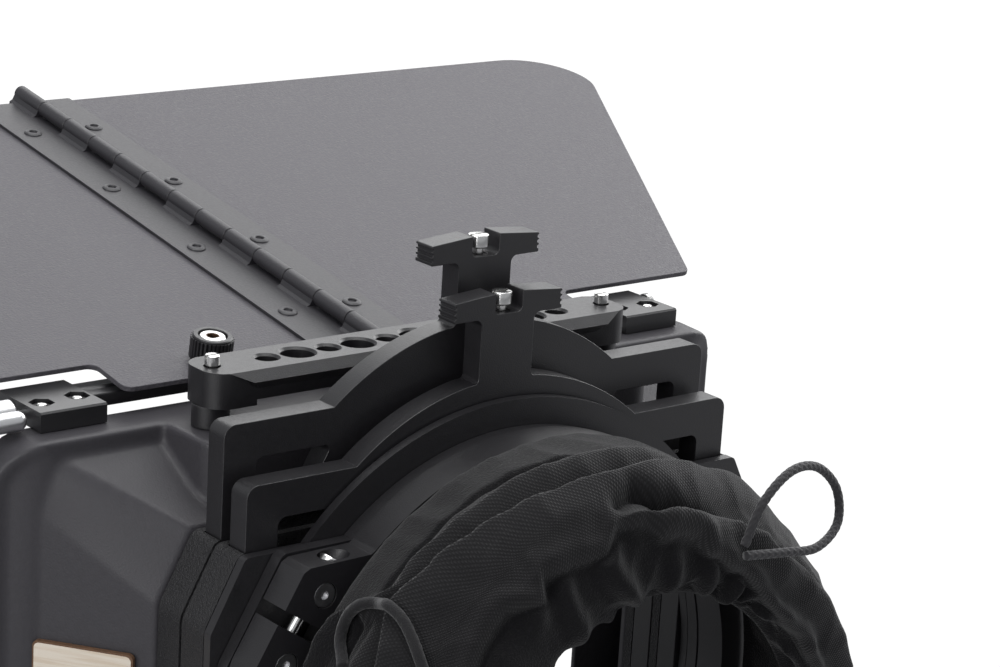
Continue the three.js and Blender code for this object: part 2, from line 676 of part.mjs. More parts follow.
/** A plain wooden plaque on the hood's left flank. */
function hoodBadge() {
  const runY = RIM_REAR_Y_SIDE + 1 - HOOD_REAR_Y - 0.4;
  const run = new THREE.Vector2(FUNNEL_HALF_WIDTH - STAGE_HALF_WIDTH, runY);
  const angle = Math.atan2(run.x, run.y);
  const group = new THREE.Group();
  const x = STAGE_HALF_WIDTH + run.x * BADGE_PLACE + 0.4;
  group.position.set(-x, HOOD_REAR_Y + run.y * BADGE_PLACE, BADGE_Z);
  group.rotation.z = angle;
  const length = BADGE_LENGTH / 2;
  const height = BADGE_HEIGHT / 2;
  const plaque = barX(rectangle(-length, length, -height, height, 2), -1.6, 0, 4);
  place("hood_badge", plaque, wood, group);
  return group;
}

place("hood_shell", hoodShell(), mouldedPlastic);
assembly.add(hoodBadge());

// ---------------------------------------------------------------- accessory rail

function accessoryRail() {
  const y0 = RAIL_Y - RAIL_HALF_WIDTH;
  const y1 = RAIL_Y + RAIL_HALF_WIDTH;
  const core = plateZ(
    rectangle(-RAIL_HALF_LENGTH, RAIL_HALF_LENGTH, y0, y1, RAIL_END_RADIUS),
    RAIL_BOTTOM_Z,
    RAIL_TOP_Z,
    5,
  );
  const edge = RAIL_TOP_Z - RAIL_EDGE;
  const dovetail = barX(
    roundedPolygon([[y0, RAIL_TOP_Z], [y0 - RAIL_EDGE, edge], [y0, edge - RAIL_EDGE],
      [y1, edge - RAIL_EDGE], [y1 + RAIL_EDGE, edge], [y1, RAIL_TOP_Z]]),
    -RAIL_HALF_LENGTH + 9,
    RAIL_HALF_LENGTH - 9,
  );
  const underCut = box(-POST_X + 9, POST_X - 9, y0 - 5, y1 + 5, RAIL_BOTTOM_Z - 1, RAIL_BOTTOM_Z + 1.6);
  const holes = [];
  for (let i = -5; i <= 5; i += 1) {
    const radius = i % 2 === 0 ? RAIL_LARGE_HOLE : RAIL_SMALL_HOLE;
    const x = i * RAIL_HOLE_PITCH;
    holes.push(rod([x, RAIL_Y, RAIL_BOTTOM_Z - 1], [x, RAIL_Y, RAIL_TOP_Z + 1], radius));
  }
  for (const side of [-1, 1]) {
    const x = side * POST_X;
    holes.push(rod([x, RAIL_Y, RAIL_BOTTOM_Z - 1], [x, RAIL_Y, RAIL_TOP_Z + 1], 1.8));
    holes.push(rod([x, RAIL_Y, RAIL_TOP_Z - 1], [x, RAIL_Y, RAIL_TOP_Z + 1], 2.4));
  }
  return cut(join(core, dovetail), underCut, ...holes);
}

function railPost(side) {
  const x = side * POST_X;
  const body = rod([x, RAIL_Y, HOOD_TOP_Z + 0.1], [x, RAIL_Y, RAIL_BOTTOM_Z - 0.1], POST_RADIUS);
  return cut(body, rod([x, RAIL_Y, HOOD_TOP_Z - 1], [x, RAIL_Y, RAIL_BOTTOM_Z + 1], 1.8));
}

/** The slotted screw that runs down through the rail and the post. */
function railScrew(side) {
  const x = side * POST_X;
  const shank = rod([x, RAIL_Y, HOOD_TOP_Z + 1], [x, RAIL_Y, RAIL_TOP_Z + 2.6], 1.55);
  const head = rod([x, RAIL_Y, RAIL_TOP_Z + 0.5], [x, RAIL_Y, RAIL_TOP_Z + 3], 2.1);
  const slot = box(x - 3, x + 3, RAIL_Y - 0.3, RAIL_Y + 0.3, RAIL_TOP_Z + 2.3, RAIL_TOP_Z + 4);
  return cut(join(shank, head), slot);
}

place("accessory_rail", accessoryRail(), blackAnodised);
for (const [name, side] of [["left", -1], ["right", 1]]) {
  place(`rail_post_${name}`, railPost(side), blackAnodised);
  place(`rail_screw_${name}`, railScrew(side), silver);
}

// ---------------------------------------------------------------- flag mount on the hood

const BLOCK_SCREWS = [[94.4, 63.6], [105.7, 62.6]]; // x, y of the two screws in each block
const NUT_POCKET_RADIUS = 3.58; // over the corners
const TRUNNION_RADIUS = 2.4;
const STUB_RADIUS = 1.3;

function flagBlock(side) {
  const [x0, x1] = side > 0 ? [BLOCK_INNER_X, BLOCK_OUTER_X] : [-BLOCK_OUTER_X, -BLOCK_INNER_X];
  const edge = 0.5;
  const profile = [[BLOCK_REAR_Y, BLOCK_BOTTOM_Z], [BLOCK_FRONT_Y, BLOCK_BOTTOM_Z],
    [BLOCK_FRONT_Y, BLOCK_TOP_Z - edge], [BLOCK_FRONT_Y - edge, BLOCK_TOP_Z],
    [BLOCK_REAR_Y + edge, BLOCK_TOP_Z], [BLOCK_REAR_Y, BLOCK_TOP_Z - edge]];
  const body = barX(roundedPolygon(profile), x0, x1);
  const tools = [rod([x0 - 1, TILT_Y, TILT_Z], [x1 + 1, TILT_Y, TILT_Z], TRUNNION_RADIUS + 0.06)];
  if (side < 0) {
    tools.push(rod([x0 - 1, LOCK_Y, LOCK_Z], [x0 + 1.5, LOCK_Y, LOCK_Z], STUB_RADIUS + 0.06));
  }
  for (const [x, y] of BLOCK_SCREWS) {
    const above = [side * x, y, BLOCK_TOP_Z + 1];
    tools.push(rod([side * x, y, BLOCK_TOP_Z - 2.6], above, NUT_POCKET_RADIUS, NUT_POCKET_RADIUS, 6));
    tools.push(rod([side * x, y, BLOCK_BOTTOM_Z - 1], above, 1.7));
  }
  return cut(body, ...tools);
}

/** A hexagon nut sunk in the block, and the screw end that shows in it. */
function blockNut(side, [x, y]) {
  const bottom = BLOCK_TOP_Z - 2.5;
  const body = rod([side * x, y, bottom], [side * x, y, bottom + 1.5], 3.3, 3.3, 6);
  return cut(body, rod([side * x, y, bottom - 1], [side * x, y, bottom + 3], 1.65));
}

function blockScrew(side, [x, y]) {
  const shank = rod([side * x, y, BLOCK_BOTTOM_Z + 0.2], [side * x, y, BLOCK_TOP_Z - 0.7], 1.5);
  const tip = rod([side * x, y, BLOCK_TOP_Z - 0.8], [side * x, y, BLOCK_TOP_Z - 0.3], 1.5, 1.1);
  return join(shank, tip);
}

/** The silver barrel of the tilt lock, with the stub that enters the left block. */
function tiltBarrel() {
  const body = rod([-LOCK_INNER_X, LOCK_Y, LOCK_Z], [-LOCK_OUTER_X, LOCK_Y, LOCK_Z], LOCK_RADIUS);
  const stubX = -BLOCK_OUTER_X + 1.2;
  const stub = rod([stubX, LOCK_Y, LOCK_Z], [-LOCK_INNER_X - 1, LOCK_Y, LOCK_Z], STUB_RADIUS);
  const bore = rod([-LOCK_INNER_X - 2, LOCK_Y, LOCK_Z], [-LOCK_OUTER_X - 1, LOCK_Y, LOCK_Z], 1.6);
  return cut(join(body, stub), bore);
}

/** The silver cranked lever that locks the tilt: pin, hub, arm and a grip that runs back to the block. */
function tiltLever() {
  const hubX = LOCK_OUTER_X + 0.4;
  const gripY = LOCK_Y - 7.6;
  const gripZ = LOCK_Z + 1;
  const innerX = LOCK_INNER_X + GRIP_RADIUS;
  const pin = rod([-LOCK_INNER_X - 4, LOCK_Y, LOCK_Z], [-hubX - 1, LOCK_Y, LOCK_Z], 1.54);
  const hub = rod([-hubX, LOCK_Y, LOCK_Z], [-hubX - 4, LOCK_Y, LOCK_Z], 3.8);
  const arm = rod([-hubX - 2, LOCK_Y, LOCK_Z], [-hubX - 2, gripY, gripZ], 1.9);
  const grip = rod([-innerX, gripY, gripZ], [-hubX - 2, gripY, gripZ], GRIP_RADIUS);
  const ball = (x) => solid(new THREE.SphereGeometry(GRIP_RADIUS, SEGMENTS, 8).translate(x, gripY, gripZ));
  return join(pin, hub, arm, grip, ball(-innerX), ball(-hubX - 2));
}

/** The small silver cap on the right-hand end of the tilt bar. */
function tiltCap() {
  return rod([BLOCK_OUTER_X + 0.4, TILT_Y, TILT_Z], [BLOCK_OUTER_X + 2.6, TILT_Y, TILT_Z], 3.4, 3.1);
}

for (const [name, side] of [["left", -1], ["right", 1]]) {
  place(`flag_block_${name}`, flagBlock(side), blackSteel);
  BLOCK_SCREWS.forEach((screw, i) => {
    const which = i === 0 ? "inner" : "outer";
    place(`block_nut_${name}_${which}`, blockNut(side, screw), blackSteel);
    place(`block_screw_${name}_${which}`, blockScrew(side, screw), silver);
  });
}
place("tilt_lock_barrel", tiltBarrel(), silver);
place("tilt_lock_lever", tiltLever(), silver);
place("tilt_bar_cap", tiltCap(), silver);

/** A point of the flag's plane at rest, s along it from the tilt axis and h above the axis. */
function onFlag(x, s, h) {
  const y = TILT_Y + Math.cos(TILT_REST) * s - Math.sin(TILT_REST) * h;
  const z = TILT_Z + Math.sin(TILT_REST) * s + Math.cos(TILT_REST) * h;
  return [x, y, z];
}

/** The bar that carries the flag: it turns in the two blocks and has a boss under each knob. */
function tiltBar() {
  const end = BLOCK_INNER_X - 0.4;
  const section = rectangle(TILT_Y - 5.6, TILT_Y + 5.6, TILT_Z - 1.9, TILT_Z + 1.9, 0.4);
  const reach = BLOCK_OUTER_X + 0.1;
  const trunnion = rod([-reach, TILT_Y, TILT_Z], [reach, TILT_Y, TILT_Z], TRUNNION_RADIUS);
  const bosses = [-1, 1].map((side) =>
    rod(onFlag(side * KNOB_X, KNOB_S, -0.5), onFlag(side * KNOB_X, KNOB_S, PANEL_BOTTOM_H - 0.15), 4.6));
  const holes = [-1, 1].map((side) =>
    rod(onFlag(side * KNOB_X, KNOB_S, 0), onFlag(side * KNOB_X, KNOB_S, 9), 1.75));
  return cut(join(barX(section, -end, end), trunnion, ...bosses), ...holes);
}

place("flag_tilt_bar", tiltBar(), blackAnodised);

// ---------------------------------------------------------------- top flag

const flag = new THREE.Group();
flag.position.set(0, TILT_Y, TILT_Z);
flag.rotation.x = TILT_REST;
assembly.add(flag);

/** One panel's outline in x and s. Each corner is given with the radius of its rounding. */
function panelShape(side) {
  const inner = 1.2;
  const corners = [
    [inner, FLAG_TAB_S, 0.8],
    [FLAG_TAB_X, FLAG_TAB_S, 3],
    [FLAG_TAB_X, FLAG_SHOULDER_S, 3],
    [FLAG_REAR_X, FLAG_SHOULDER_S, 4.5],
    [FLAG_FRONT_X, FLAG_FRONT_S, FLAG_CORNER_RADIUS],
    [inner, FLAG_FRONT_S, 0.8],
  ];
  const points = [];
  corners.forEach(([x, s, radius], i) => {
    const [xBefore, sBefore] = corners[(i + corners.length - 1) % corners.length];
    const [xAfter, sAfter] = corners[(i + 1) % corners.length];
    const corner = new THREE.Vector2(x, s);
    const before = new THREE.Vector2(xBefore, sBefore).sub(corner).normalize();
    const after = new THREE.Vector2(xAfter, sAfter).sub(corner).normalize();
    const half = before.angleTo(after) / 2;
    const centre = before.clone().add(after).setLength(radius / Math.sin(half)).add(corner);
    const spoke = before.clone().multiplyScalar(radius / Math.tan(half)).add(corner).sub(centre);
    const turn = (Math.PI - 2 * half) * Math.sign(after.cross(before));
    const steps = radius > 10 ? 14 : 4;
    for (let k = 0; k <= steps; k += 1) {
      const point = spoke.clone().rotateAround(new THREE.Vector2(), (turn * k) / steps).add(centre);
      points.push(new THREE.Vector2(side * point.x, point.y));
    }
  });
  return new THREE.Shape(points);
}

/** A hole through the flag's sheets, square to them. */
function flagHole(x, s, radius) {
  return rod([x, s, 0], [x, s, 12], radius);
}

function flagPanel(side) {
  const body = plateZ(panelShape(side), PANEL_BOTTOM_H, PANEL_BOTTOM_H + PANEL_THICKNESS, 5);
  const rivetHoles = RIVET_S.map((s) => flagHole(side * RIVET_X, s, 1.8));
  return cut(body, flagHole(side * KNOB_X, KNOB_S, 2.2), ...rivetHoles);
}

/** One leaf of the piano hinge with every second knuckle of the barrel. */
function hingeLeaf(side) {
  const sheet = sideBox(side, 0.4, LEAF_HALF_WIDTH, LEAF_REAR_S, LEAF_FRONT_S, LEAF_BOTTOM_H, LEAF_TOP_H);
  let leaf = sheet;
  for (let i = 0; i < KNUCKLE_COUNT; i += 1) {
    const s0 = HINGE_REAR_S + i * KNUCKLE_PITCH + 0.15;
    const s1 = s0 + KNUCKLE_PITCH - 0.3;
    const mine = (i % 2 === 0) === (side < 0);
    if (mine) {
      const web = sideBox(side, 0, KNUCKLE_RADIUS, s0, s1, LEAF_BOTTOM_H + 0.2, PIN_H);
      leaf = join(leaf, rod([0, s0, PIN_H], [0, s1, PIN_H], KNUCKLE_RADIUS, KNUCKLE_RADIUS, 10), web);
    } else {
      leaf = cut(leaf, box(-3, 3, s0 - 0.3, s1 + 0.3, 0, 14));
    }
  }
  const holes = RIVET_S.map((s) => flagHole(side * RIVET_X, s, 1.8));
  const pinBore = rod([0, HINGE_REAR_S - 1, PIN_H], [0, HINGE_FRONT_S + 1, PIN_H], PIN_RADIUS + 0.08);
  return cut(leaf, pinBore, ...holes);
}

/** A rivet: low domed head on the leaf, shank through leaf and panel, flare underneath. */
function rivet(side, s) {
  const x = side * RIVET_X;
  const top = LEAF_TOP_H;
  const head = rod([x, s, top + 0.05], [x, s, top + 0.75], 2.9, 2.2);
  const shank = rod([x, s, PANEL_BOTTOM_H - 0.5], [x, s, top + 0.4], 1.7);
  const flare = rod([x, s, PANEL_BOTTOM_H - 0.6], [x, s, PANEL_BOTTOM_H - 0.05], 2.6);
  return join(head, shank, flare);
}

/** A round clamp knob with a recessed top, for the silver socket screw that is set in it. */
function flagKnob() {
  const base = PANEL_BOTTOM_H + PANEL_THICKNESS + 0.2;
  const grip = rod([0, 0, base + 1.2], [0, 0, KNOB_TOP_H - 0.7], 6, 6, 24);
  const foot = rod([0, 0, base], [0, 0, base + 1.3], 5.2, 5.2, 24);
  const crown = rod([0, 0, KNOB_TOP_H - 0.8], [0, 0, KNOB_TOP_H], 6, 5.3, 24);
  const recess = rod([0, 0, KNOB_TOP_H - 1.2], [0, 0, KNOB_TOP_H + 1], 4.1);
  const bore = rod([0, 0, 0], [0, 0, KNOB_TOP_H], 1.7);
  return cut(join(grip, foot, crown), recess, bore);
}

function knobScrew() {
  const top = KNOB_TOP_H;
  const disk = rod([0, 0, top - 1.1], [0, 0, top - 0.3], 3.7);
  const shank = rod([0, 0, 0.6], [0, 0, top - 0.6], 1.6);
  const socket = rod([0, 0, top - 1.0], [0, 0, top + 1], 1.45, 1.45, 6);
  return cut(join(disk, shank), socket);
}

for (const [name, side] of [["left", -1], ["right", 1]]) {
  place(`flag_panel_${name}`, flagPanel(side), powderCoat, flag);
  place(`hinge_leaf_${name}`, hingeLeaf(side), hingeSteel, flag);
  RIVET_S.forEach((s, i) => place(`rivet_${name}_${i + 1}`, rivet(side, s), hingeSteel, flag));
  const knob = new THREE.Group();
  knob.position.set(side * KNOB_X, KNOB_S, 0);
  flag.add(knob);
  place(`flag_knob_${name}`, flagKnob(), blackAnodised, knob);
  place(`flag_knob_screw_${name}`, knobScrew(), silver, knob);
}
place(
  "hinge_pin",
  rod([0, HINGE_REAR_S - 0.6, PIN_H], [0, HINGE_FRONT_S + 0.6, PIN_H], PIN_RADIUS),
  hingeSteel,
  flag,
);

export default part;
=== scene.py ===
"""The finished looks of a box-type lens hood (matte box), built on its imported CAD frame.
"""

import json
import math

import bmesh
import bpy
from mathutils import Matrix, Vector, noise
from mathutils.bvhtree import BVHTree


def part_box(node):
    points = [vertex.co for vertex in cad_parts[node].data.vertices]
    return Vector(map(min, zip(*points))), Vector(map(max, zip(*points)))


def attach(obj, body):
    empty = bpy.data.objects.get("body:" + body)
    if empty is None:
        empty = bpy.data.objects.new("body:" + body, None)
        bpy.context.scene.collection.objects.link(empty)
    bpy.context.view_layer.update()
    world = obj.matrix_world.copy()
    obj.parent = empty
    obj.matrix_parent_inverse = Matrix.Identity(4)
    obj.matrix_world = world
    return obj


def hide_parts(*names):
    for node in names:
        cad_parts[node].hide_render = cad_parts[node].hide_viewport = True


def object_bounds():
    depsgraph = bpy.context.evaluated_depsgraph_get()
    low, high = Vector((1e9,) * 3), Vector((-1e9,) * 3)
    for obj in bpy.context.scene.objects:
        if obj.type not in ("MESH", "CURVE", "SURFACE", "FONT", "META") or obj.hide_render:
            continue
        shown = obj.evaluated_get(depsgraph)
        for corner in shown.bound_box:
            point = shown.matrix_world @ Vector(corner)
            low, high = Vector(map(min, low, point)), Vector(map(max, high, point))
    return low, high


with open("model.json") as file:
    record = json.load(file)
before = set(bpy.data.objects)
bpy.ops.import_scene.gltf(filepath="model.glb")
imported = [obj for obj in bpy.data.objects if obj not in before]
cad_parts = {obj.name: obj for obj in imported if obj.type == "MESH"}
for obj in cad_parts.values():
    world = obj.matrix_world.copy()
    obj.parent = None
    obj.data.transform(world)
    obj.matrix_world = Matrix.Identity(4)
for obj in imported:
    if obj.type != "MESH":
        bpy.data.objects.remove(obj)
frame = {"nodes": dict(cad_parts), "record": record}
cad_lo, cad_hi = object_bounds()
MM = 0.001
STAGE_X = 94  # half the width of the filter stages
STAGE_Z = 57.5  # half their height
STAGE_GAP = 0.1  # between the rear plate and the rear stage
STAGE_LO, STAGE_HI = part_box("stage_rear")
HOOD_ORIGIN = Vector(((STAGE_LO.x + STAGE_HI.x) / 2, STAGE_LO.y - STAGE_GAP * MM,
                      STAGE_LO.z + STAGE_Z * MM))


def cad_box(node):
    """The box of a CAD node in hood coordinates."""
    lo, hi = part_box(node)
    return Vector(lo) - HOOD_ORIGIN, Vector(hi) - HOOD_ORIGIN


# ---------------------------------------------------------------- materials

BUMP_DEPTH = 0.2 * MM


def shader_node(nodes, kind, **values):
    """A new node with some of its inputs set."""
    node = nodes.new("ShaderNode" + kind)
    for name, value in values.items():
        node.inputs[name.replace("_", " ")].default_value = value
    return node


def node_material(name, colour, roughness, metallic=0.0, grain=None, mottle=None, sheen=0.0,
                  specular=0.5):
    """A principled material. grain is (size in mm, strength), mottle is (size in mm, amount)."""
    mat = bpy.data.materials.new(name)
    mat.use_nodes = True
    nodes, links = mat.node_tree.nodes, mat.node_tree.links
    bsdf = nodes["Principled BSDF"]
    bsdf.inputs["Base Color"].default_value = (*colour, 1)
    bsdf.inputs["Roughness"].default_value = roughness
    bsdf.inputs["Metallic"].default_value = metallic
    bsdf.inputs["Specular IOR Level"].default_value = specular
    bsdf.inputs["Sheen Weight"].default_value = sheen
    coords = nodes.new("ShaderNodeTexCoord")
    if mottle:
        size, amount = mottle
        speck = shader_node(nodes, "TexNoise", Scale=1 / (size * MM), Detail=3)
        links.new(coords.outputs["Object"], speck.inputs["Vector"])
        ramp = shader_node(nodes, "MapRange", From_Min=0.3, From_Max=0.7, To_Min=1 - amount,
                           To_Max=1 + amount)
        links.new(speck.outputs["Fac"], ramp.inputs["Value"])
        mix = nodes.new("ShaderNodeVectorMath")
        mix.operation = "SCALE"
        mix.inputs[0].default_value = colour
        links.new(ramp.outputs["Result"], mix.inputs["Scale"])
        links.new(mix.outputs["Vector"], bsdf.inputs["Base Color"])
        rough = nodes.new("ShaderNodeMath")
        rough.operation = "MULTIPLY"
        rough.inputs[1].default_value = roughness
        links.new(ramp.outputs["Result"], rough.inputs[0])
        links.new(rough.outputs["Value"], bsdf.inputs["Roughness"])
    if grain:
        size, strength = grain
        fine = shader_node(nodes, "TexNoise", Scale=1 / (size * MM), Detail=2)
        links.new(coords.outputs["Object"], fine.inputs["Vector"])
        bump = shader_node(nodes, "Bump", Strength=strength, Distance=BUMP_DEPTH)
        links.new(fine.outputs["Fac"], bump.inputs["Height"])
        links.new(bump.outputs["Normal"], bsdf.inputs["Normal"])
    return mat


ANODISED = node_material("black_anodised", (0.0155, 0.0148, 0.0168), 0.36, 0.0, grain=(0.35, 0.3),
                         mottle=(1.2, 0.08), specular=0.75)
BLOCK = node_material("black_block", (0.013, 0.0125, 0.014), 0.34, 0.0, grain=(0.3, 0.2), specular=0.8)
SPRING = node_material("spring_steel", (0.35, 0.35, 0.36), 0.35, 1.0)
HOOD = node_material("hood_plastic", (0.049, 0.0465, 0.053), 0.48, 0.0, grain=(0.6, 0.3),
                     mottle=(1.4, 0.06))
STAGE = node_material("stage_plastic", (0.013, 0.0125, 0.014), 0.52, 0.0, grain=(0.5, 2.4),
                      mottle=(0.5, 0.35), specular=0.65)
POWDER = node_material("flag_powder", (0.081, 0.0765, 0.0875), 0.55, 0.0, grain=(0.7, 1.0),
                       mottle=(1.1, 0.22))
HINGE = node_material("hinge_steel", (0.029, 0.0275, 0.0325), 0.47, 0.0, grain=(0.6, 0.3),
                      mottle=(0.9, 0.08), specular=0.7)
SILVER = node_material("silver", (0.78, 0.775, 0.765), 0.22, 1.0, mottle=(3.0, 0.05))
SATIN_SILVER = node_material("satin_silver", (0.86, 0.86, 0.87), 0.3, 1.0, mottle=(4.0, 0.04))
BRONZE = node_material("socket_bronze", (0.12, 0.07, 0.045), 0.45, 0.6)

# ---------------------------------------------------------------- geometry helpers


def mesh_object(name, bm, materials=()):
    """Writes a bmesh in millimetres as an object in metres."""
    bmesh.ops.scale(bm, vec=(MM, MM, MM), verts=bm.verts)
    bmesh.ops.recalc_face_normals(bm, faces=bm.faces)
    mesh = bpy.data.meshes.new(name)
    bm.to_mesh(mesh)
    bm.free()
    obj = bpy.data.objects.new(name, mesh)
    bpy.context.scene.collection.objects.link(obj)
    for mat in materials:
        mesh.materials.append(mat)
    return obj


def rounded(corners, steps=6):
    """A closed outline through (u, v, radius) corners, each turned into an arc where it has a radius."""
    out = []
    count = len(corners)
    for i, (u, v, radius) in enumerate(corners):
        here = Vector((u, v))
        before = Vector(corners[i - 1][:2]) - here
        after = Vector(corners[(i + 1) % count][:2]) - here
        if radius <= 0:
            out.append((u, v))
            continue
        half = before.angle(after) / 2
        reach = min(radius / math.tan(half), before.length * 0.49, after.length * 0.49)
        size = reach * math.tan(half)
        start = here + before.normalized() * reach
        end = here + after.normalized() * reach
        centre = here + (before.normalized() + after.normalized()).normalized() * (size / math.sin(half))
        a = start - centre
        turn = a.angle_signed(end - centre)
        for k in range(steps + 1):
            w = -turn * k / steps
            p = centre + Vector((a.x * math.cos(w) - a.y * math.sin(w),
                                 a.x * math.sin(w) + a.y * math.cos(w)))
            out.append((p.x, p.y))
    return out


def circle(u, v, radius, count=48, start=0.0):
    return [(u + radius * math.cos(start + 2 * math.pi * k / count),
             v + radius * math.sin(start + 2 * math.pi * k / count)) for k in range(count)]


def rect(u0, v0, u1, v1, *radius):
    """A rectangle's corners, each with the radius where one is given."""
    return [(u0, v0, *radius), (u1, v0, *radius), (u1, v1, *radius), (u0, v1, *radius)]


PLACE = {"x": lambda u, v, w: (w, u, v), "y": lambda u, v, w: (u, w, v), "z": lambda u, v, w: (u, v, w)}


def prism(bm, outline, lo, hi, axis):
    """A solid with the outline as its section, from lo to hi along the axis."""
    put = PLACE[axis]
    low = [bm.verts.new(put(u, v, lo)) for u, v in outline]
    high = [bm.verts.new(put(u, v, hi)) for u, v in outline]
    count = len(outline)
    bm.faces.new(low)
    bm.faces.new(list(reversed(high)))
    for i in range(count):
        j = (i + 1) % count
        bm.faces.new((low[i], high[i], high[j], low[j]))
    return bm


def turned(bm, profile, base, direction, count=48):
    """A body of revolution. profile lists (radius, distance along the axis) from one end to the other."""
    axis = Vector(direction).normalized()
    side = axis.orthogonal().normalized()
    up = axis.cross(side)
    base = Vector(base)
    rings = []
    for radius, along in profile:
        centre = base + axis * along
        if radius < 1e-6:
            rings.append([bm.verts.new(centre)])
            continue
        rings.append([bm.verts.new(centre + (side * math.cos(a) + up * math.sin(a)) * radius)
                      for a in (2 * math.pi * k / count for k in range(count))])
    for a, b in zip(rings, rings[1:]):
        for k in range(count):
            j = (k + 1) % count
            if len(a) == 1 and len(b) == 1:
                continue
            if len(a) == 1:
                bm.faces.new((a[0], b[k], b[j]))
            elif len(b) == 1:
                bm.faces.new((a[k], b[0], a[j]))
            else:
                bm.faces.new((a[k], b[k], b[j], a[j]))
    if len(rings[0]) > 1:
        bm.faces.new(rings[0])
    if len(rings[-1]) > 1:
        bm.faces.new(list(reversed(rings[-1])))
    return bm


def slab(outline, lo, hi, axis):
    """A prism as an object of its own."""
    return mesh_object("tool", prism(bmesh.new(), outline, lo, hi, axis))


def turning(profile, base, direction, count=48):
    """A body of revolution as an object of its own."""
    return mesh_object("tool", turned(bmesh.new(), profile, base, direction, count))


def apply_modifiers(obj):
    """Bakes the object's modifiers into its mesh."""
    graph = bpy.context.evaluated_depsgraph_get()
    baked = bpy.data.meshes.new_from_object(obj.evaluated_get(graph), depsgraph=graph)
    old = obj.data
    obj.modifiers.clear()
    obj.data = baked
    bpy.data.meshes.remove(old)
    return obj


def combine(obj, tools, operation="DIFFERENCE"):
    """Cuts the tools from the object, or joins them to it."""
    for tool in tools:
        mod = obj.modifiers.new("combine", "BOOLEAN")
        mod.operation = operation
        mod.solver = "EXACT"
        mod.object = tool
    apply_modifiers(obj)
    for tool in tools:
        mesh = tool.data
        bpy.data.objects.remove(tool)
        bpy.data.meshes.remove(mesh)
    return obj


def smooth(obj, angle=35):
    for face in obj.data.polygons:
        face.use_smooth = True
    obj.data.set_sharp_from_angle(angle=math.radians(angle))
    return obj


def bevel(obj, width, segments=2, angle=30):
    """Rounds the edges with a modifier that leaves the mesh itself alone."""
    mod = obj.modifiers.new("edge", "BEVEL")
    mod.width = width * MM
    mod.segments = segments
    mod.limit_method = "ANGLE"
    mod.angle_limit = math.radians(angle)
    mod.use_clamp_overlap = True
    mod.harden_normals = True
    mod.miter_outer = "MITER_ARC" if segments > 1 else "MITER_SHARP"
    return obj


def finish(obj, name, body, materials, replaced, edge=0.0, angle=35, segments=2):
    """Names a new piece, gives it its looks and puts it on its body in place of the CAD nodes."""
    obj.name = name
    obj.data.name = name
    if not obj.data.materials:
        for mat in materials:
            obj.data.materials.append(mat)
    obj.data.transform(Matrix.Translation(HOOD_ORIGIN))
    smooth(obj, angle)
    if edge:
        bevel(obj, edge, segments, 30)
    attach(obj, body)
    if replaced:
        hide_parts(*replaced)
    return obj


# ---------------------------------------------------------------- CAD pieces kept as they are

# Only the stages, their springs and the flag blocks stay; the rest is replaced by finer pieces.
CAD_LOOKS = {"stage_plastic": (STAGE, 0.55), "spring_steel": (SPRING, 0.1), "black_block": (BLOCK, 0.4)}
for part in frame["record"]["subparts"]:
    if part["material_slot"] in CAD_LOOKS:
        kept = frame["nodes"][part["node"]]
        look, edge_width = CAD_LOOKS[part["material_slot"]]
        kept.data.materials.clear()
        kept.data.materials.append(look)
        smooth(kept)
        bevel(kept, edge_width, angle=35)

# ---------------------------------------------------------------- filter frames

FRAME_TOP = 75.1
FRAME_BOTTOM = -55.4
FRAME_HALF = 82.0
FRAME_THICK = 7.2
ARCH_R = 74.0
ARCH_DROP = 56.5
STEM_X = 8.95
PULL_X = 18.3
PULL_FOOT = FRAME_TOP + 34.5  # underside of the T-shaped pull


def frame_outline():
    """The pull-up frame's outline in x and z: bar, arch, stem and T-shaped pull with its notch."""
    top = FRAME_TOP
    arch_z = top - ARCH_DROP
    kink = math.acos(ARCH_DROP / ARCH_R)
    stem_angle = math.asin((STEM_X + 2.6) / ARCH_R)
    half = [(FRAME_HALF, FRAME_BOTTOM, 3.5), (FRAME_HALF, top, 3.5)]
    for k in range(37):
        a = kink + (stem_angle - kink) * k / 36
        half.append((ARCH_R * math.sin(a), arch_z + ARCH_R * math.cos(a), 0))
    foot = arch_z + ARCH_R * math.cos(stem_angle)
    half += [(STEM_X, foot + 0.2, 2.4), (STEM_X, PULL_FOOT, 2.0), (PULL_X, PULL_FOOT, 0.5),
             (PULL_X, PULL_FOOT + 5.5, 0.5), (4.6, PULL_FOOT + 6.7, 0.3), (4.6, PULL_FOOT + 0.9, 1.6)]
    return rounded(half + [(-u, v, r) for u, v, r in reversed(half)], 6)


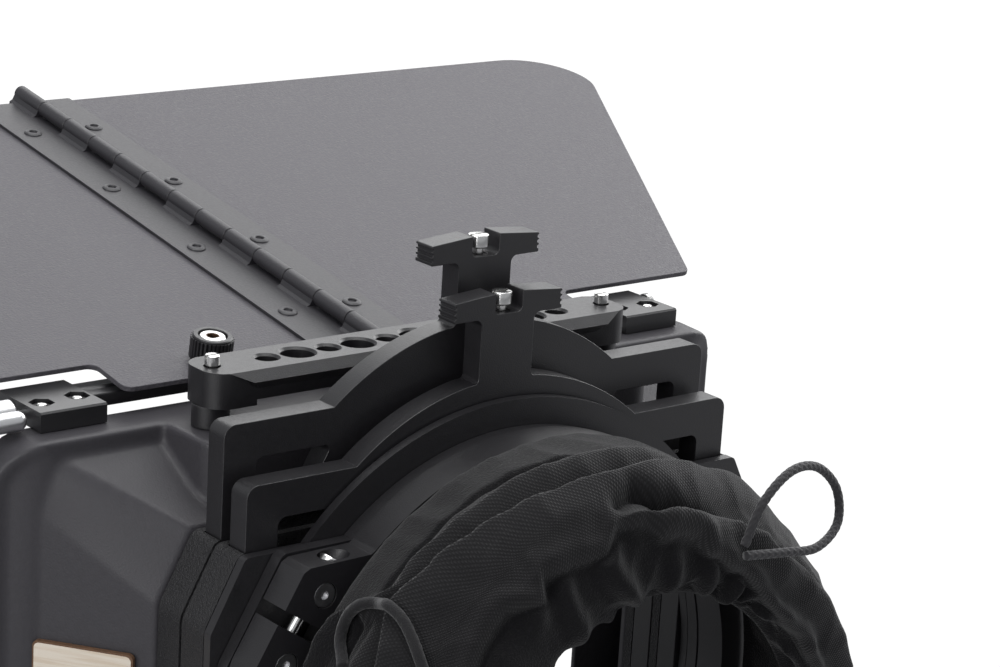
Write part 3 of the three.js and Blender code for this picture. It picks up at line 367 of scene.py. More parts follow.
def filter_frame(name, body, node, screw_node):
    """A pull-up frame with its window, side slots, grooved pull and the screw in the pull's notch."""
    lo = cad_box(node)[0]
    y0 = lo.y / MM
    lift = lo.z / MM - FRAME_BOTTOM
    obj = slab(frame_outline(), 0, FRAME_THICK, "y")
    window = rounded([(70, -49, 2.5), (70, 49, 2.5), (-70, 49, 2.5), (-70, -49, 2.5)])
    tools = [slab(window, -1, FRAME_THICK + 1, "y")]
    for side in (1, -1):
        corners = [(side * 72, 54, 3), (side * 72, FRAME_TOP - 10, 2.5), (side * 48, FRAME_TOP - 10, 1.5),
                   (side * 54, 54, 3)]
        tools.append(slab(rounded(corners), -1, FRAME_THICK + 1, "y"))
    grooves = bmesh.new()
    for side in (1, -1):
        for above in (1.5, 3.0, 4.4):
            z = PULL_FOOT + above
            prism(grooves, [(side * 17.75, z - 0.35), (side * 19, z - 0.55), (side * 19, z + 0.55),
                            (side * 17.75, z + 0.35)], -1, FRAME_THICK + 1, "y")
    tools.append(mesh_object("tool", grooves))
    hole = bmesh.new()
    turned(hole, [(1.7, 0), (1.7, 12)], (0, FRAME_THICK / 2, FRAME_TOP + 28), (0, 0, 1), 32)
    turned(hole, [(2.6, 0), (2.6, 6)], (0, FRAME_THICK / 2, PULL_FOOT + 0.4), (0, 0, 1), 32)
    tools.append(mesh_object("tool", hole))
    combine(obj, tools)
    obj.data.transform(Matrix.Translation((0, y0 * MM, lift * MM)))
    finish(obj, name, body, [ANODISED], [node], edge=0.4, segments=2)
    z = PULL_FOOT + 0.8 + lift
    head = turning([(1.5, -6), (1.5, 1.6), (2.0, 1.9), (2.75, 2.1), (2.9, 2.3), (2.9, 5.0), (2.75, 5.35),
                    (2.4, 5.5), (0, 5.5)], (0, y0 + 3.6, z), (0, 0, 1), 48)
    slot = slab(rect(-4, y0 + 3.2, 4, y0 + 4.0), z + 4.5, z + 7, "z")
    combine(head, [slot])
    finish(head, name + "_screw", body, [SILVER], [screw_node], edge=0.06)


filter_frame("rear_frame_plate", "rear_frame", "filter_frame_rear", "handle_screw_rear")
filter_frame("front_frame_plate", "front_frame", "filter_frame_front", "handle_screw_front")

# ---------------------------------------------------------------- rear plate, flange and clamp ring

CUT_X = 84  # where the stages' corners are cut
CUT_Z = 38.5
BORE = 71.5
PLATE_R = 87.1
FLANGE_R = 79.6
CLAMP_R = 80.3


def depth(node):
    """Where a CAD node starts and ends along the optical axis."""
    lo, hi = cad_box(node)
    return lo.y / MM, hi.y / MM


def cut_corners(x, z, cut_x, cut_z):
    """The corners of the stages' outline, from the right side's upper cut on anticlockwise."""
    return [(x, cut_z), (cut_x, z), (-cut_x, z), (-x, cut_z), (-x, -cut_z), (-cut_x, -z), (cut_x, -z),
            (x, -cut_z)]


def rear_plate():
    y0, y1 = depth("rear_plate")
    obj = slab(rounded([(u, v, 2) for u, v in cut_corners(STAGE_X, STAGE_Z, CUT_X, CUT_Z)]), y0, y1, "y")
    disc = slab(circle(0, 0, PLATE_R, 256), y0, y1, "y")
    combine(obj, [disc], "UNION")
    combine(obj, [slab(circle(0, 0, BORE, 192), y0 - 1, y1 + 1, "y")])
    return finish(obj, "rear_plate_fine", "hood_body", [ANODISED], ["rear_plate"],
                  edge=0.5, segments=1)


def lens_flange():
    y0, y1 = depth("lens_flange")
    obj = slab(circle(0, 0, FLANGE_R, 256), y0, y1, "y")
    lug = rounded([(-40, 56, 1), (-54, 58.5, 4), (-75.5, 58.5, 3), (-92, 30, 4), (-90, 20, 4),
                   (-74, 4, 4), (-60, 20, 0)])
    combine(obj, [slab(lug, y0, y1, "y")], "UNION")
    combine(obj, [slab(circle(0, 0, BORE, 192), y0 - 1, y1 + 1, "y")])
    return finish(obj, "lens_flange_fine", "hood_body", [ANODISED], ["lens_flange"],
                  edge=0.5, segments=1)


NUTS = [(-69.5, 49.7), (-80.6, 32.8)]
SCREW_MID = (Vector(NUTS[0]) + Vector(NUTS[1])) / 2
SCREW_DIR = (Vector(NUTS[0]) - Vector(NUTS[1])).normalized()
SCREW_PLACE = (SCREW_MID.x, -13.0, SCREW_MID.y)
SCREW_AXIS = (SCREW_DIR.x, 0, SCREW_DIR.y)


def clamp_ring():
    y0, y1 = depth("clamp_ring")
    obj = slab(circle(0, 0, CLAMP_R, 256), y0, y1, "y")
    lug = rounded([(-40, 58, 1), (-54, 59.4, 2), (-55.6, 58.3, 0.6), (-74.5, 58, 1.5), (-76.4, 57, 1),
                   (-90.4, 33.4, 1.5), (-92, 29, 2), (-91.5, 21, 3), (-74, 2, 4), (-60, 20, 0)])
    combine(obj, [slab(lug, y0, y1, "y")], "UNION")
    gap = SCREW_DIR * 2
    out = Vector((-SCREW_DIR.y, SCREW_DIR.x))
    a, b = SCREW_MID - out * 8.8, SCREW_MID + out * 22
    split = [tuple(p) for p in (a - gap, b - gap, b + gap, a + gap)]
    tools = [slab(circle(0, 0, BORE, 192), y0 - 1, y1 + 1, "y"), slab(split, y0 - 1, y1 + 1, "y")]
    combine(obj, tools)
    holes = bmesh.new()
    for x, z in NUTS:
        turned(holes, [(3.5, 0), (3.5, 13)], (x, y0 - 1, z), (0, 1, 0), 48)
    combine(obj, [mesh_object("tool", holes)])
    bore = turning([(1.9, -13.5), (1.9, 13.6), (3.7, 13.8), (3.7, 34)], SCREW_PLACE, SCREW_AXIS, 48)
    combine(obj, [bore])
    return finish(obj, "clamp_ring_fine", "hood_body", [ANODISED], ["clamp_ring"],
                  edge=0.55, segments=1)


def barrel_nut(name, x, z):
    y0, y1 = depth(name)
    long = y1 - y0
    part = turning([(0, 0.9), (1.2, 0.9), (1.2, 0.1), (3.1, 0), (3.4, 0.3), (3.4, long - 0.3),
                    (3.1, long), (0, long)], (x, y0, z), (0, 1, 0), 48)
    return finish(part, name + "_fine", "hood_body", [SATIN_SILVER], [name])


def clamp_screw():
    part = turning([(0, -13.5), (1.3, -13.5), (1.55, -13.2), (1.55, 15.6), (2.9, 15.6), (3.1, 15.8),
                    (3.1, 19.0), (2.8, 19.4), (1.6, 19.4), (1.6, 17.4), (0, 17.2)], SCREW_PLACE,
                   SCREW_AXIS, 36)
    return finish(part, "clamp_screw_fine", "clamp_screw_turn", [SILVER], ["clamp_screw"])


rear_plate()
lens_flange()
clamp_ring()
barrel_nut("clamp_nut_upper", *NUTS[0])
barrel_nut("clamp_nut_lower", *NUTS[1])
clamp_screw()

# ---------------------------------------------------------------- accessory rail

RAIL_Y = 40.4
RAIL_TOP = 94.4
RAIL_LOW = 84.5
RAIL_X = 72
RAIL_HALF_Y = 8.45
RAIL_SCREW_X = 67.3
RAIL_PITCH = 10


def accessory_rail():
    """The rail: scooped long edges, stepped underside and two sizes of tapped hole in turn."""
    y0, y1 = RAIL_Y - RAIL_HALF_Y, RAIL_Y + RAIL_HALF_Y
    body = rounded(rect(-RAIL_X, y0, RAIL_X, y1, 6), 12)
    obj = slab(body, RAIL_LOW, RAIL_TOP, "z")
    edge = 2.6
    wing = bmesh.new()
    for side, y in ((-1, y0), (1, y1)):
        rows = []
        for x_in, off, z in ((RAIL_SCREW_X, 0, RAIL_TOP), (61.0, edge, RAIL_TOP - edge),
                             (58.4, 0, RAIL_TOP - 2 * edge)):
            rows.append([wing.verts.new((sx * x_in, y + side * off, z)) for sx in (-1, 1)])
        rows.append([wing.verts.new((sx * 58.4, y - side * 3, RAIL_TOP - 2 * edge)) for sx in (-1, 1)])
        rows.append([wing.verts.new((sx * RAIL_SCREW_X, y - side * 3, RAIL_TOP)) for sx in (-1, 1)])
        for k in range(5):
            a, b = rows[k], rows[(k + 1) % 5]
            wing.faces.new((a[0], a[1], b[1], b[0]))
        for end in (0, 1):
            wing.faces.new([row[end] for row in rows])
    combine(obj, [mesh_object("tool", wing)], "UNION")
    under = slab(rect(-58.3, y0 - 5, 58.3, y1 + 5), RAIL_LOW - 1, RAIL_LOW + 1.6, "z")
    holes = bmesh.new()
    for k in range(-5, 6):
        radius = 4.72 if k % 2 == 0 else 3.15
        turned(holes, [(radius, -1), (radius, 9.2), (radius + 1.3, 10.5)],
               (k * RAIL_PITCH, RAIL_Y, RAIL_LOW), (0, 0, 1), 64)
    for side in (-1, 1):
        turned(holes, [(1.8, -1), (1.8, 8.9), (2.4, 8.9), (2.4, 11)],
               (side * RAIL_SCREW_X, RAIL_Y, RAIL_LOW), (0, 0, 1), 40)
    combine(obj, [under, mesh_object("tool", holes)])
    finish(obj, "accessory_rail_fine", "hood_body", [ANODISED], ["accessory_rail"],
           edge=0.3, segments=2)


def rail_ends():
    for name, side in (("left", -1), ("right", 1)):
        x = side * RAIL_SCREW_X
        post = turning([(0, 0), (5.2, 0), (5.2, 6.3), (0, 6.3)], (x, RAIL_Y, 78.1), (0, 0, 1), 64)
        finish(post, f"rail_post_{name}_fine", "hood_body", [ANODISED],
               [f"rail_post_{name}"], edge=0.3)
        head = turning([(0, -6), (1.55, -6), (1.55, 9.9), (2.05, 10.3), (2.05, 12.8), (1.8, 13.0),
                        (0, 13.0)], (x, RAIL_Y, RAIL_LOW), (0, 0, 1), 40)
        cutter = slab(rect(x - 3, RAIL_Y - 0.35, x + 3, RAIL_Y + 0.35), RAIL_TOP + 2.1, RAIL_TOP + 5, "z")
        combine(head, [cutter])
        finish(head, f"rail_screw_{name}_fine", "hood_body", [SILVER], [f"rail_screw_{name}"],
               edge=0.06)


accessory_rail()
rail_ends()

# ---------------------------------------------------------------- top flag

# The flag is drawn lying flat: x across, s from its tilt axis towards the subject.
TILT = math.radians(8.57)
TILT_Y = 70.0
TILT_Z = 80.9
FLAG = Matrix.Translation((0, TILT_Y * MM, TILT_Z * MM)) @ Matrix.Rotation(TILT, 4, "X")
TAB_X, TAB_S = 82, -10
SHOULDER_X, SHOULDER_S = 134, 6.5
FLAG_X, FLAG_S = 239.5, 193  # the far corner before it is rounded
RIVET_X = 11.3
KNOB_X, KNOB_S = 50.5, -2.2
RIVETS = [17.7, 67.0, 116.3, 165.6]
PANEL_LOW = 4.2
PIN_H = 9.4
HINGE_REAR = -13.3
KNUCKLES = 13
PITCH = 15.99


def on_flag(obj):
    obj.data.transform(FLAG)
    return obj


def rivet_holes(side):
    """Cutters for the rivet holes of one half."""
    holes = bmesh.new()
    for s in RIVETS:
        turned(holes, [(1.8, 0), (1.8, 9)], (side * RIVET_X, s, 0), (0, 0, 1), 24)
    return holes


def flag_panel(name, side):
    corners = [(1.2, TAB_S, 0.8), (TAB_X, TAB_S, 3), (TAB_X, SHOULDER_S, 3),
               (SHOULDER_X, SHOULDER_S, 4.5), (FLAG_X, FLAG_S, 22.5), (1.2, FLAG_S, 0.8)]
    outline = rounded([(side * u, v, r) for u, v, r in corners], 16)
    obj = slab(outline, PANEL_LOW, PANEL_LOW + 1.5, "z")
    holes = rivet_holes(side)
    turned(holes, [(2.2, 0), (2.2, 9)], (side * KNOB_X, KNOB_S, 0), (0, 0, 1), 32)
    combine(obj, [mesh_object("tool", holes)])
    return finish(on_flag(obj), f"flag_sheet_{name}", f"flag_{name}", [POWDER],
                  [f"flag_panel_{name}"], edge=0.25, segments=2)


def hinge_leaf(name, side):
    """One leaf with the rolled knuckles it carries."""
    low, high = PANEL_LOW + 1.6, PANEL_LOW + 2.5
    outline = rounded([(side * 0.4, -12, 0.2), (side * 17.5, -12, 0.8), (side * 17.5, 192.4, 0.8),
                       (side * 0.4, 192.4, 0.2)], 4)
    obj = slab(outline, low, high, "z")
    gaps = bmesh.new()
    knuckles = []
    for k in range(KNUCKLES):
        s0 = HINGE_REAR + k * PITCH + 0.15
        s1 = s0 + PITCH - 0.3
        if (k % 2 == 0) == (side < 0):
            curl = turning([(1.25, 0), (2.2, 0), (2.4, 0.2), (2.4, s1 - s0 - 0.2), (2.2, s1 - s0),
                            (1.25, s1 - s0)], (0, s0, PIN_H), (0, 1, 0), 40)
            profile = [(side * 0.2, 6.8), (side * 1.6, 5.9), (side * 3.9, 5.82), (side * 3.9, 6.68),
                       (side * 2.9, 7.3), (side * 2.3, 8.8), (side * 1.5, 8.6)]
            knuckles += [curl, slab(profile, s0, s1, "y")]
        else:
            prism(gaps, rect(-0.6, s0 - 0.3, 0.6, s1 + 0.3), 0, 14, "z")
    combine(obj, [mesh_object("tool", gaps)])
    combine(obj, knuckles, "UNION")
    combine(obj, [mesh_object("tool", rivet_holes(side))])
    return finish(on_flag(obj), f"hinge_half_{name}", f"flag_{name}", [HINGE],
                  [f"hinge_leaf_{name}"], edge=0.12)


def hinge_rivets(name, side):
    for i, s in enumerate(RIVETS):
        part = turning([(0, -0.6), (2.6, -0.6), (2.6, -0.05), (1.7, -0.05), (1.7, 2.55), (2.9, 2.55),
                        (2.85, 2.75), (2.55, 3.0), (2.1, 3.15), (1.55, 3.2), (1.3, 3.05), (1.15, 2.6),
                        (0, 2.5)], (side * RIVET_X, s, PANEL_LOW), (0, 0, 1), 36)
        finish(on_flag(part), f"tube_rivet_{name}_{i + 1}", f"flag_{name}", [HINGE],
               [f"rivet_{name}_{i + 1}"])


def hinge_pin():
    part = turning([(0, -13.9), (0.9, -13.9), (1.1, -13.7), (1.1, 195.0), (0.9, 195.2), (0, 195.2)],
                   (0, 0, PIN_H), (0, 1, 0), 32)
    finish(on_flag(part), "hinge_pin_fine", "flag_left", [HINGE], ["hinge_pin"])


def knob(name, side):
    """A straight-knurled clamp knob with a recessed top and a socket screw."""
    teeth = 32
    outline = []
    for k in range(teeth):
        for part, radius in ((0.0, 5.45), (0.28, 6.05), (0.72, 6.05), (1.0, 5.45)):
            if part < 1.0:
                a = 2 * math.pi * (k + part) / teeth
                outline.append((radius * math.cos(a), radius * math.sin(a)))
    obj = slab(outline, 7.0, 12.9, "z")
    ends = bmesh.new()
    turned(ends, [(5.2, 5.9), (5.5, 6.2), (5.5, 7.4)], (0, 0, 0), (0, 0, 1), 64)
    turned(ends, [(5.6, 12.6), (5.6, 13.3), (5.3, 13.6)], (0, 0, 0), (0, 0, 1), 64)
    combine(obj, [mesh_object("tool", ends)], "UNION")
    recess = turning([(1.7, 0), (1.7, 12.3), (4.1, 12.4), (4.3, 16)], (0, 0, 0), (0, 0, 1), 48)
    combine(obj, [recess])
    place = FLAG @ Matrix.Translation((side * KNOB_X * MM, KNOB_S * MM, 0))
    obj.data.transform(place)
    finish(obj, f"knob_{name}_grip", f"knob_{name}", [ANODISED], [f"flag_knob_{name}"],
           edge=0.12)
    face = turning([(0, 0.6), (1.6, 0.6), (1.6, 12.5), (3.5, 12.5), (3.7, 12.65), (3.7, 13.1),
                    (3.4, 13.3), (1.9, 13.3)], (0, 0, 0), (0, 0, 1), 48)
    hexagon = slab(circle(0, 0, 1.75, 6), 12.0, 15, "z")
    combine(face, [hexagon])
    face.data.materials.append(SILVER)
    face.data.materials.append(BRONZE)
    for poly in face.data.polygons:
        c = poly.center
        if math.hypot(c.x, c.y) < 1.72 * MM and c.z > 11.9 * MM:
            poly.material_index = 1
    face.data.transform(place)
    finish(face, f"knob_{name}_screw", f"knob_{name}", [SILVER], [f"flag_knob_screw_{name}"],
           edge=0.05)


for name, side in (("left", -1), ("right", 1)):
    flag_panel(name, side)
    hinge_leaf(name, side)
    hinge_rivets(name, side)
    knob(name, side)
hinge_pin()

# ---------------------------------------------------------------- tilt bar, blocks and lock

LOCK_X = -112.9
LEVER_X = -126.2


def tilt_bar():
    outline = rounded(rect(TILT_Y - 5.6, TILT_Z - 1.9, TILT_Y + 5.6, TILT_Z + 1.9, 0.5), 3)
    obj = slab(outline, -90.1, 90.1, "x")
    ends = turning([(2.4, -110.6), (2.4, 110.6)], (0, TILT_Y, TILT_Z), (1, 0, 0), 48)
    combine(obj, [ends], "UNION")
    bosses = bmesh.new()
    for side in (-1, 1):
        turned(bosses, [(4.6, -0.5), (4.6, PANEL_LOW - 0.15)], (side * KNOB_X, KNOB_S, 0), (0, 0, 1), 48)
    boss = mesh_object("tool", bosses)
    boss.data.transform(FLAG)
    combine(obj, [boss], "UNION")
    return finish(obj, "tilt_bar_fine", "flag_left", [ANODISED], ["flag_tilt_bar"],
                  edge=0.1)


def block_hardware():
    for name, side in (("left", -1), ("right", 1)):
        for which in ("inner", "outer"):
            lo, hi = cad_box(f"block_screw_{name}_{which}")
            x, y = (lo.x + hi.x) / 2 / MM, (lo.y + hi.y) / 2 / MM
            z0, z1 = lo.z / MM, hi.z / MM
            part = turning([(0, z0), (1.5, z0), (1.5, z1 - 0.6), (1.35, z1 - 0.2), (0.9, z1 + 0.05),
                            (0, z1 + 0.1)], (x, y, 0), (0, 0, 1), 40)
            finish(part, f"stud_{name}_{which}", "hood_body", [SILVER],
                   [f"block_screw_{name}_{which}"])
            lo, hi = cad_box(f"block_nut_{name}_{which}")
            z0, z1 = lo.z / MM, hi.z / MM
            nut = slab(circle(x, y, 3.3, 6, math.pi / 6), z0, z1, "z")
            hole = turning([(1.65, z0 - 1), (1.65, z1 + 1)], (x, y, 0), (0, 0, 1), 32)
            combine(nut, [hole])
            finish(nut, f"nut_{name}_{which}", "hood_body", [BLOCK],
                   [f"block_nut_{name}_{which}"], edge=0.15)


def tilt_lock():
    """The lock's barrel and L-shaped lever at the left end of the tilt bar, and the cap at its right."""
    y, z = 65.8, 80.2
    part = turning([(0, -3.6), (1.3, -3.6), (1.3, 0.05), (3.8, 0), (4.4, 0.6), (4.4, 10.3), (3.8, 10.9),
                    (1.62, 10.9), (1.62, 2), (0, 2)], (LOCK_X, y, z), (-1, 0, 0), 64)
    finish(part, "lock_barrel", "hood_body", [SATIN_SILVER], ["tilt_lock_barrel"])
    obj = turning([(0, 4.2), (1.54, 4.2), (1.54, 11.3), (3.3, 11.3), (3.8, 11.8), (3.8, 14.8),
                   (3.3, 15.3), (0, 15.3)], (LOCK_X, y, z), (-1, 0, 0), 64)
    arm = turning([(0, -1.9), (1.2, -1.5), (1.9, 0), (1.9, 7.6), (1.2, 9.1), (0, 9.5)], (LEVER_X, y, z),
                  (0, -7.6, 1.0), 32)
    radius = 2.7
    ball = [(radius * math.sin(a), radius - radius * math.cos(a))
            for a in (math.pi / 2 * k / 8 for k in range(9))]
    length = LOCK_X - LEVER_X + radius
    profile = ball + [(r, length - t) for r, t in reversed(ball)]
    grip = turning(profile, (LOCK_X, y - 7.6, z + 1.0), (-1, 0, 0), 48)
    combine(obj, [arm, grip], "UNION")
    finish(obj, "lock_lever", "tilt_lock", [SATIN_SILVER], ["tilt_lock_lever"])
    cap = turning([(0, 0), (3.2, 0), (3.4, 0.2), (3.4, 1.6), (2.8, 2.2), (1.5, 2.2), (1.4, 1.4),
                   (0, 1.2)], (110.9, TILT_Y, TILT_Z), (1, 0, 0), 48)
    finish(cap, "tilt_cap", "flag_left", [SILVER], ["tilt_bar_cap"])


tilt_bar()
block_hardware()
tilt_lock()

# ---------------------------------------------------------------- moulded hood

RIM_STEPS = 28


def rim_outline(half_x, half_z, radius, y_top, y_side):
    """A rounded rectangle whose y goes from the top's value to the side's round each corner."""
    out = []
    for quarter in range(4):
        sx = 1 if quarter in (0, 3) else -1
        sz = 1 if quarter < 2 else -1
        for k in range(RIM_STEPS + 1):
            turn = (quarter + k / RIM_STEPS) * math.pi / 2
            y = y_side + (y_top - y_side) * math.sin(turn) ** 2
            out.append((sx * (half_x - radius) + radius * math.cos(turn), y,
                        sz * (half_z - radius) + radius * math.sin(turn)))
    return out


def stage_outline(y, inset):
    """The stages' cut-corner outline with as many points as a rim outline."""
    corners = cut_corners(STAGE_X - inset, STAGE_Z - inset, CUT_X - 0.6 * inset, CUT_Z - 0.4 * inset)
    out = []
    for quarter in range(4):
        a, b = corners[2 * quarter], corners[2 * quarter + 1]
        for k in range(RIM_STEPS + 1):
            t = k / RIM_STEPS
            out.append((a[0] + (b[0] - a[0]) * t, y, a[1] + (b[1] - a[1]) * t))
    return out


def loft(outlines):
    """A closed skin through outlines that have the same number of points."""
    bm = bmesh.new()
    rings = [[bm.verts.new(p) for p in outline] for outline in outlines]
    count = len(rings[0])
    for a, b in zip(rings, rings[1:]):
        for k in range(count):
            j = (k + 1) % count
            bm.faces.new((a[k], a[j], b[j], b[k]))
    bm.faces.new(rings[0])
    bm.faces.new(list(reversed(rings[-1])))
    bmesh.ops.triangulate(bm, faces=[f for f in bm.faces if len(f.verts) > 4])
    return mesh_object("tool", bm)


HOOD_Z = 78  # half the height of the hood's rim
PAD_REAR = 25.0
WALL = 3


def hood_form(inset, y_rear, y_front):
    """The funnel, the stepped rim and the raised middle panels: three solids that overlap."""
    form = loft([stage_outline(y_rear, inset), rim_outline(118 - inset, 73.5 - inset, 11, 48.5, 54)])
    rim = loft([rim_outline(120.6 - inset, 74.4 - inset, 11, 47.4 + inset, 53.2 + inset),
                rim_outline(124.4 - inset, 77.6 - inset, 13.6, 47.4 + inset, 53.6 + inset),
                rim_outline(125.0 - inset, HOOD_Z - inset, 14, 48.4 + inset, 54.6 + inset),
                rim_outline(126.4 - inset, HOOD_Z - inset, 14, y_front, y_front)])
    pad_back = [(side * (76.5 - inset), PAD_REAR + inset, 7) for side in (-1, 1)]
    pad_front = [(side * (77.5 - inset), 58, 0) for side in (1, -1)]
    pad = slab(rounded(pad_back + pad_front, 10), inset - HOOD_Z, HOOD_Z - inset, "z")
    return [form, rim, pad]


def soften(parts, voxel, rounds):
    """Makes one evenly meshed solid of overlapping solids and rounds its edges as a mould would."""
    bm = bmesh.new()
    for part in parts:
        mesh = part.data
        bm.from_mesh(mesh)
        bpy.data.objects.remove(part)
        bpy.data.meshes.remove(mesh)
    bmesh.ops.scale(bm, vec=(1 / MM, 1 / MM, 1 / MM), verts=bm.verts)
    obj = mesh_object("tool", bm)
    remesh = obj.modifiers.new("even", "REMESH")
    remesh.mode = "VOXEL"
    remesh.voxel_size = voxel * MM
    relax = obj.modifiers.new("soft", "SMOOTH")
    relax.factor = 0.5
    relax.iterations = rounds
    return apply_modifiers(obj)


def hood_shell():
    """The outer form less the same form one wall smaller, open to the stages and in front."""
    outer = soften(hood_form(0, 22.4, 62), 0.85, 4)
    aperture = slab(rounded(rect(-71, -50, 71, 50, 5), 8), 15, 30, "y")
    combine(outer, hood_form(WALL, 22.4 + WALL, 63) + [aperture])
    return finish(outer, "hood_moulding", "hood_body", [HOOD], ["hood_shell"], angle=180)


BADGE_X, BADGE_Z = 14.2, 8.8  # half its length and height


def wood_material():
    """Pale plank wood with fine darker grain lines along the plaque."""
    mat = node_material("badge_wood", (0.8, 0.74, 0.63), 0.55, grain=(0.5, 0.15))
    nodes, links = mat.node_tree.nodes, mat.node_tree.links
    coords = nodes.new("ShaderNodeTexCoord")
    stretch = shader_node(nodes, "Mapping", Scale=(45, 45, 1100))
    figure = shader_node(nodes, "TexNoise", Scale=1, Detail=4)
    ramp = nodes.new("ShaderNodeValToRGB")
    ramp.color_ramp.elements[0].position = 0.38
    ramp.color_ramp.elements[0].color = (0.78, 0.66, 0.52, 1)
    ramp.color_ramp.elements[1].position = 0.56
    ramp.color_ramp.elements[1].color = (0.88, 0.79, 0.67, 1)
    links.new(coords.outputs["Object"], stretch.inputs["Vector"])
    links.new(stretch.outputs["Vector"], figure.inputs["Vector"])
    links.new(figure.outputs["Fac"], ramp.inputs["Fac"])
    links.new(ramp.outputs["Color"], nodes["Principled BSDF"].inputs["Base Color"])
    return mat


def hood_badge():
    """A blank wooden plaque, pale on its face and scorched brown round its edge."""
    flank_angle = math.atan2(24.0, 32.6)  # how the hood widens from the stages to its rim
    place = Matrix.Translation(Vector((-106, 37.8, 15)) * MM) @ Matrix.Rotation(flank_angle, 4, "Z")
    outline = rounded(rect(-BADGE_X, -BADGE_Z, BADGE_X, BADGE_Z, 1.6), 8)
    obj = slab(outline, -1.6, 0, "x")
    face = slab([(u * 0.965, v * 0.95) for u, v in outline], -1.75, -1.0, "x")
    combine(obj, [face], "UNION")
    brown = node_material("badge_edge", (0.16, 0.085, 0.045), 0.7, mottle=(1.0, 0.2))
    obj.data.materials.append(wood_material())
    obj.data.materials.append(brown)
    for poly in obj.data.polygons:
        poly.material_index = 0 if poly.normal.x < -0.5 and poly.center.x < -1.7 * MM else 1
    obj.data.transform(place)
    return finish(obj, "badge_plaque", "hood_body", [], ["hood_badge"], edge=0.12)


hood_shell()
hood_badge()

# ---------------------------------------------------------------- fabric light trap

# The sleeve's section as (radius, y), from its hem behind the clamp ring to its gathered mouth.
SLEEVE = [(79.4, -18.5), (81.8, -20.8), (83.5, -29), (85.5, -42), (84.5, -52), (79.0, -62), (71.0, -71),
          (60.0, -74), (53.5, -71), (52.3, -65)]
ANGLES = 640
ROWS = 168
CLOTH = 1.1
WEAVE_R = 80  # radius at which the weave's pattern is laid out


def around(angle, stops):
    """A value that changes smoothly round the axis, from (angle in degrees, value) stops."""
    angle %= 360
    stops = sorted(stops)
    for (a, va), (b, vb) in zip(stops, stops[1:] + [(stops[0][0] + 360, stops[0][1])]):
        here = angle if angle >= a else angle + 360
        if a <= here <= b:
            w = (here - a) / (b - a)
            w = w * w * (3 - 2 * w)
            return va + (vb - va) * w
    return stops[0][1]


# Each fold: where it lies between hem (0) and mouth (1) round the axis, its height in mm there, and
# how wide its flanks towards the hem and towards the mouth are.
FOLDS = [
    ("great fold",
     [(0, 0.5), (30, 0.49), (56, 0.49), (68, 0.48), (80, 0.51), (98, 0.52), (108, 0.5), (116, 0.475),
      (124, 0.45), (132, 0.415), (140, 0.375), (150, 0.42), (185, 0.5), (230, 0.42), (275, 0.5),
      (320, 0.46)],
     [(0, 4.5), (40, 4.2), (60, 4.8), (98, 6.2), (124, 6.0), (140, 5.0), (160, 3), (200, 5.5),
      (250, 3), (300, 5.4)],
     0.026, 0.12),
    ("valley before it",
     [(0, 0.44), (60, 0.43), (82, 0.455), (98, 0.465), (106, 0.45), (116, 0.425), (124, 0.395),
      (132, 0.36), (140, 0.32), (150, 0.36), (200, 0.42), (250, 0.37), (300, 0.42)],
     [(0, -3.2), (60, -3.6), (98, -5.6), (124, -5.8), (140, -4.6), (200, -4), (280, -4)],
     0.045, 0.02),
    ("low fold",
     [(0, 0.33), (60, 0.34), (84, 0.37), (100, 0.36), (112, 0.335), (124, 0.31), (134, 0.28),
      (150, 0.28), (240, 0.3)],
     [(0, 0), (60, 1.0), (84, 2.0), (104, 2.6), (124, 2.4), (140, 1.0), (200, 0), (230, 2.4),
      (270, 0), (310, 2.2)],
     0.02, 0.035),
    ("seam of the hem",
     [(0, 0.27), (63, 0.33), (72, 0.31), (84, 0.315), (92, 0.285), (99, 0.26), (106, 0.235),
      (115, 0.225), (132, 0.225), (149, 0.22), (250, 0.24)],
     [(0, -1.8), (90, -2.2), (130, -1.6)],
     0.01, 0.016),
    ("belly",
     [(0, 0.6), (98, 0.56), (124, 0.57), (140, 0.55), (220, 0.6)],
     [(0, 1.0), (70, 0.3), (98, 0.2), (112, 1.6), (126, 1.8), (140, 1.4), (220, 2)],
     0.05, 0.05),
    ("pocket",
     [(0, 0.6), (78, 0.65), (84, 0.64), (90, 0.605), (96, 0.565), (101, 0.575), (110, 0.58)],
     [(0, 0), (70, 0), (80, -5.0), (88, -7.2), (95, -7.4), (100, -4.5), (104, 0), (180, 0), (200, -5),
      (215, 0)],
     0.02, 0.03),
    ("shoulder",
     [(0, 0.7), (40, 0.69), (49, 0.68), (57, 0.7), (68, 0.69), (75, 0.675), (84, 0.68), (92, 0.66),
      (100, 0.635)],
     [(0, 3), (40, 3.6), (68, 4.0), (80, 4.2), (90, 3.6), (99, 1.6), (106, 0), (150, 0), (210, 3.4),
      (260, 0), (300, 3.2)],
     0.024, 0.045),
    ("pull fold",
     [(0, 0.3), (136, 0.33), (142, 0.25), (148, 0.14), (156, 0.1), (200, 0.3)],
     [(0, 0), (130, 0), (138, 2.4), (144, 4.2), (150, 4.4), (156, 3), (164, 0)],
     0.05, 0.035),
]
# Where the gathered collar starts round the axis, and how far in mm the sleeve is drawn in there.
COLLAR = [(0, 0.84), (48, 0.86), (58, 0.84), (70, 0.79), (79, 0.765), (85, 0.72), (93, 0.7), (98, 0.655),
          (103, 0.635), (108, 0.675), (116, 0.65), (121, 0.635), (124, 0.68), (131, 0.62), (139, 0.63),
          (160, 0.7), (200, 0.74), (240, 0.68), (290, 0.76), (330, 0.7)]
SLIM = [(0, -6), (30, -8), (50, -8.5), (70, -5), (90, -1.5), (120, 0), (170, 0), (230, -2), (300, -6)]
HEM_SEAM = FOLDS[3][1]


